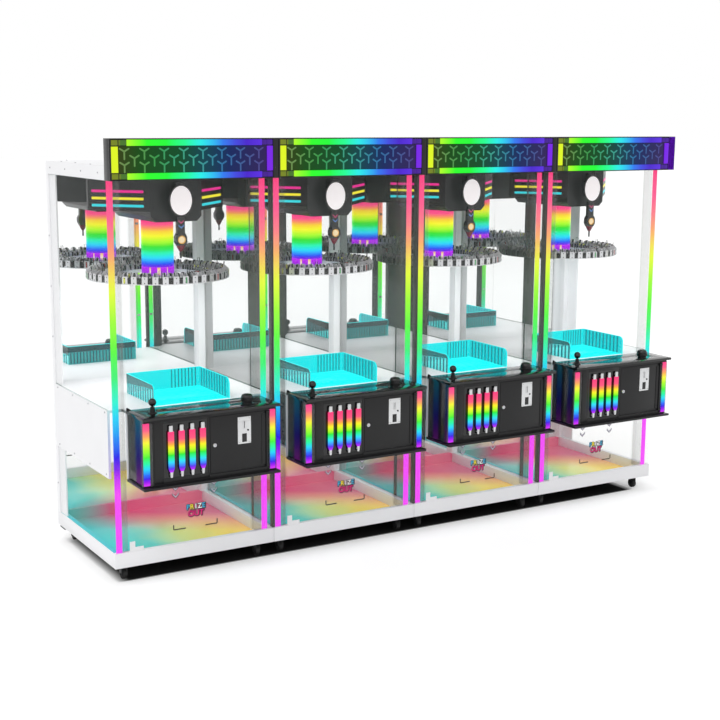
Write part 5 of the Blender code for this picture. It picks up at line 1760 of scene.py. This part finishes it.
def prize_door():
    """Everyday words, chevrons and corner marks printed on the door's pane, and its hinge knuckles."""
    face = FLAP_FACE
    depth = 0.0005
    y = face - depth / 2 - 0.0001
    colours = {
        "P": (70, 180, 222), "R": (250, 226, 60), "I": (250, 250, 250), "Z": (250, 250, 250),
        "E": (70, 180, 222),
    }
    x_middle = 0.4075
    ink_painted_glow = surface("sign_backing_ink", linear(26, 14, 34), 0.4)
    for i, (name, colour) in enumerate(colours.items()):
        x = x_middle + (i - 2) * 0.02
        mesh = flat_words(name, 0.034, (x, y - 0.0003, 0.3165), depth)
        mesh.materials.clear()
        # Each ink also glows a little in its own colour, a painted light that lifts the letters out of their
        # shade
        mesh.materials.append(surface(f"sign_{name}_ink", linear(*colour), 0.4, vary=0.03, bump=0.02,
                                      lit=0.2))
        everywhere(f"sign_letter_{name}", mesh, "prize_door")
    out = flat_words("OUT", 0.038, (x_middle, y - 0.0003, 0.2835), depth)
    out.materials.clear()
    # The OUT ink glows a little more, painted light of the same kind
    out.materials.append(surface("sign_out_ink_painted_glow", linear(226, 20, 120), 0.4, vary=0.05, bump=0.02, lit=0.3))
    everywhere("sign_out", out, "prize_door")

    # Dark copies, shifted all round, outline the words from behind
    outlines = Shape()
    for letter, size, x, z in (*((letter, 0.034, x_middle + (i - 2) * 0.02, 0.3165) for i,
                                 letter in enumerate("PRIZE")),
                               ("OUT", 0.038, x_middle, 0.2835)):
        for step in range(8):
            turn = math.pi / 4 * step
            spot = (x + 0.0038 * math.cos(turn) + 0.0014, face - 0.00018,
                    z + 0.0038 * math.sin(turn) - 0.0014)
            copy = flat_words(letter, size, spot, 0.0002)
            outlines.whole.from_mesh(copy)
            bpy.data.meshes.remove(copy)
    outlines.stand("sign_outline", "clear_acrylic", ink_painted_glow, body="prize_door")

    # Chevrons above the words, pointing down, and corner marks below them
    marks = Shape()
    line = 0.0052
    for x in (0.306, 0.5025):
        for z in (0.384, 0.42):
            for rim_width, lift, finish in ((0.0026, 0.0002, 2), (0.0, 0.0004, 0)):
                for side in (-1, 1):
                    reach = 0.015 + rim_width
                    low, high = z - 0.012 - rim_width, z + 0.004 - rim_width
                    thick = line * 1.3 + 2 * rim_width
                    arm = [(x, low), (x + side * reach, high), (x + side * reach, high + thick),
                           (x, low + thick)]
                    marks.prism(arm, face - lift, face - 0.00005, "Y", finish=finish)
    line = 0.0058
    for x, way in ((0.29, 1), (0.519, -1)):
        z = 0.215
        outline = [(x, z + 0.026), (x + way * line, z + 0.026), (x + way * line, z + line),
                   (x + way * 0.064, z + line),
                   (x + way * 0.064, z), (x + way * 0.005, z), (x, z + 0.005)]
        marks.prism(outline, face - 0.0004, face - 0.00005, "Y", finish=1)
    lavender = surface("sign_chevron_ink", linear(232, 226, 244), 0.4)
    olive = surface("sign_mark_ink", linear(58, 50, 36), 0.4)
    marks.stand("sign_marks", "clear_acrylic", lavender, olive, ink_painted_glow, body="prize_door")

    # Hinge knuckles along the flap's barrel
    knuckles = Shape()
    middle_z = FLAP.top - 0.005
    middle_y = 0.0065
    for x in (0.14, 0.41, 0.66):
        knuckles.turned([(0.005, 0), (0.0052, 0.0004), (0.0052, 0.0396), (0.005, 0.04), (0.003, 0.04),
                         (0.003, 0)],
                        (x - 0.02, middle_y, middle_z), "X", 20, hollow=True)
    knuckles.stand("flap_knuckles", "dark_steel", M.steel, body="prize_door")


# ---------------------------------------------------------------- casters


CASTER_X = 0.064  # from a cabinet's side to its casters' axis
BOLT = 0.024  # from that axis to the plate's bolts


def caster_mesh():
    """One twin-cheek swivel caster; its wheel's axle lies along X at the origin of X and Y."""
    shape = Shape()
    radius, wide = 0.025, 0.021
    profile = [
        (0.007, -wide / 2), (0.018, -wide / 2), (0.0195, -wide / 2 + 0.002), (0.0225, -wide / 2),
        (radius - 0.0012, -wide / 2 + 0.0006), (radius, -wide / 2 + 0.003), (radius, wide / 2 - 0.003),
        (radius - 0.0012, wide / 2 - 0.0006), (0.0225, wide / 2), (0.0195, wide / 2 - 0.002),
        (0.018, wide / 2),
        (0.007, wide / 2),
    ]
    shape.turned(profile, (0, 0, radius), "X", 32, hollow=True, finish=1)
    shape.rod((-0.0165, 0, radius), 0.0048, 0.033, "X", 14, finish=0)
    for side in (-1, 1):
        cheek = [(-0.013, 0.018), (0.013, 0.018), (0.0155, 0.03), (0.014, 0.054), (-0.014, 0.054),
                 (-0.0155, 0.03)]
        x = side * 0.0135
        shape.prism(cheek, x - 0.0016, x + 0.0016, "X", bevel=0.0006)
        shape.turned([(0, 0), (0.0058, 0), (0.0058, 0.0022), (0.0045, 0.003), (0, 0.003)],
                     (0.0151 if side > 0 else -0.0181, 0, radius), "X", 6)
    shape.box((-0.0155, 0.0155), (-0.0155, 0.0155), (0.053, 0.0575), bevel=0.001)
    shape.turned([(0, 0.0575), (0.015, 0.0575), (0.0165, 0.0595), (0.0165, 0.063), (0.014, 0.065),
                  (0, 0.065)],
                 (0, 0, 0), "Z", 28)
    shape.turned([(0, 0.065), (0.013, 0.065), (0.013, 0.0686), (0, 0.0686)], (0, 0, 0), "Z", 20)
    return shape.mesh("caster", M.steel, M.rubber)


def casters():
    """The front and rear strips, and a pair of casters on each at every station."""
    base = caster_mesh()
    for row in ("front", "rear"):
        strip = edges(f"{row}_caster_strip")
        y = strip.y
        shape = Shape()
        shape.box((strip.left, strip.right), (strip.front, strip.back), (strip.top - 0.006, strip.top),
                  bevel=0.001)
        for station in STATIONS:
            for x in (CASTER_X, PLINTH.right - CASTER_X):
                for dx in (-BOLT, BOLT):
                    for dy in (-BOLT, BOLT):
                        spot = (x + dx + (station - 1) * PITCH, y + dy, strip.top - 0.006)
                        shape.turned([(0, -0.0035), (0.0042, -0.0035), (0.005, -0.0028), (0.005, 0),
                                      (0, 0)], spot, "Z", 6)
        piece(f"{row}_strip", shape.mesh(f"{row}_strip", M.steel), 1,
              replaces=[f"{row}_caster_strip"])
        turns = [Matrix.Translation((x, y, 0)) for x in (CASTER_X, PLINTH.right - CASTER_X)]
        pair = Shape().copies(base, turns).mesh(f"{row}_casters", M.steel, M.rubber)
        everywhere(f"{row}_casters", pair)


# ---------------------------------------------------------------- stage


def stage_sheet(name, x, y, z):
    """A flat sheet that isn't part of the object, with an empty material's tree and output."""
    sheet = bpy.data.meshes.new(name)
    corners = [(x[0], y[0], z), (x[1], y[0], z), (x[1], y[1], z), (x[0], y[1], z)]
    sheet.from_pydata(corners, [], [(0, 1, 2, 3)])
    ground = bpy.data.objects.new(name, sheet)
    bpy.context.scene.collection.objects.link(ground)
    material = bpy.data.materials.new(name)
    material.use_nodes = True
    material.node_tree.nodes.clear()
    sheet.materials.append(material)
    return material.node_tree, material.node_tree.nodes.new("ShaderNodeOutputMaterial")


def blend_shaders(tree, share, first, second, output):
    """The first shader where the share is 0 and the second where it is 1."""
    mix = tree.nodes.new("ShaderNodeMixShader")
    tree.links.new(share, mix.inputs[0])
    tree.links.new(first.outputs[0], mix.inputs[1])
    tree.links.new(second.outputs[0], mix.inputs[2])
    tree.links.new(mix.outputs[0], output.inputs["Surface"])


def studio():
    """White surroundings, a soft sky and one broad soft sun, with a floor that keeps the shadow."""
    scene = bpy.context.scene
    world = bpy.data.worlds.new("studio")
    scene.world = world
    world.use_nodes = True
    tree = world.node_tree
    tree.nodes.clear()
    output = tree.nodes.new("ShaderNodeOutputWorld")
    sky, seen = (tree.nodes.new("ShaderNodeBackground") for _ in range(2))
    for background, strength in ((sky, 0.8), (seen, 1.0)):
        background.inputs["Color"].default_value = (1, 1, 1, 1)
        background.inputs["Strength"].default_value = strength
    blend_shaders(tree, seen_straight(tree), sky, seen, output)

    sun = bpy.data.lights.new("soft_sun", "SUN")
    sun.energy = 0.85
    sun.angle = math.radians(50)
    lamp = bpy.data.objects.new("soft_sun", sun)
    scene.collection.objects.link(lamp)
    lamp.rotation_euler = (math.radians(42), 0, math.radians(-52))

    reach = 60.0
    tree, output = stage_sheet("studio_floor", (-reach, reach), (-reach, reach), 0)
    matte = tree.nodes.new("ShaderNodeBsdfDiffuse")
    matte.inputs["Color"].default_value = (0.86, 0.86, 0.86, 1)
    shine = tree.nodes.new("ShaderNodeEmission")
    shine.inputs["Color"].default_value = (1, 1, 1, 1)
    tree.links.new(maths(tree, "MULTIPLY", seen_straight(tree), 0.3), shine.inputs["Strength"])
    add = tree.nodes.new("ShaderNodeAddShader")
    tree.links.new(matte.outputs[0], add.inputs[0])
    tree.links.new(shine.outputs[0], add.inputs[1])
    tree.links.new(add.outputs[0], output.inputs["Surface"])
    contact_shade()
    cabinet_lamps()
    scene.view_settings.view_transform = "Standard"


def cabinet_lamps():
    """Soft lamps inside every station, over the deck and over the prize compartment's floor."""
    for station in STATIONS:
        for name, z, energy in (("deck", RING.bottom - 0.03, 2.9), ("prize", DECK - 0.03, 1.5)):
            data = bpy.data.lights.new(f"{name}_lamp_{station}", "AREA")
            data.shape = "RECTANGLE"
            data.size, data.size_y = 0.62, 0.6
            data.energy = energy
            lamp = bpy.data.objects.new(data.name, data)
            bpy.context.scene.collection.objects.link(lamp)
            lamp.location = origin(station) + Vector((PLINTH.x, CENTRE[1], z))
            lamp.visible_camera = lamp.visible_glossy = lamp.visible_transmission = False


def contact_shade():
    """Soft-edged black under the cabinets, where the studio floor gets no light."""
    low, high = Vector(cad_bounds[0]), Vector(cad_bounds[1])
    front, back = origin(1).y, high.y
    margin = 0.06
    x, y = (low.x - margin, high.x + margin), (front - margin, back + margin)
    tree, output = stage_sheet("contact_shade", x, y, 0.0004)
    place = object_place(tree)
    cover = 1.0
    edges_of = (("X", origin(1).x + 0.05, 0.034), ("X", origin(LAST).x + PLINTH.right - 0.11, -0.03),
                ("Y", front + 0.03, 0.01), ("Y", back - 0.06, -0.04))
    for axis, edge, soft in edges_of:
        cover = maths(tree, "MULTIPLY", cover, along(tree, place, axis, edge - soft, edge + soft))
    clear = tree.nodes.new("ShaderNodeBsdfTransparent")
    dark = tree.nodes.new("ShaderNodeBsdfDiffuse")
    dark.inputs["Color"].default_value = (0.025, 0.025, 0.025, 1)
    blend_shaders(tree, cover, clear, dark, output)


def seen_straight(tree):
    """1 for what the camera sees, itself or through a shine or a pane."""
    path = tree.nodes.new("ShaderNodeLightPath")
    value = path.outputs[SEE_THROUGH[0]]
    for name in SEE_THROUGH[1:]:
        value = maths(tree, "MAXIMUM", value, path.outputs[name])
    return value


def camera():
    """A long lens a little above the marquees' height, off the bank's left end."""
    data = bpy.data.cameras.new("view")
    data.lens = 66.35
    data.sensor_width = 36
    data.clip_end = 200
    eye = bpy.data.objects.new("view", data)
    bpy.context.scene.collection.objects.link(eye)
    yaw, pitch, roll = 0.54104, 0.180122, 0.0053
    ahead = Vector((math.sin(yaw) * math.cos(pitch), math.cos(yaw) * math.cos(pitch), -math.sin(pitch)))
    right = ahead.cross(Vector((0, 0, 1))).normalized()
    up = right.cross(ahead)
    tilted_right = right * math.cos(roll) + up * math.sin(roll)
    tilted_up = tilted_right.cross(ahead)
    turn = Matrix((tilted_right, tilted_up, -ahead)).transposed()
    eye.matrix_world = Matrix.Translation((-3.6806, -5.8729, 2.1219)) @ turn.to_4x4()
    bpy.context.scene.camera = eye


camera()
studio()
paint_carried_nodes()
plinth()
floor_print()
back_panel()
frame_details()
light_strips()
marquee()
overhead()
light_tower()
clip_ring()
poker()
tray()
control_box()
coin_door()
joystick()
push_button()
prize_door()
casters()
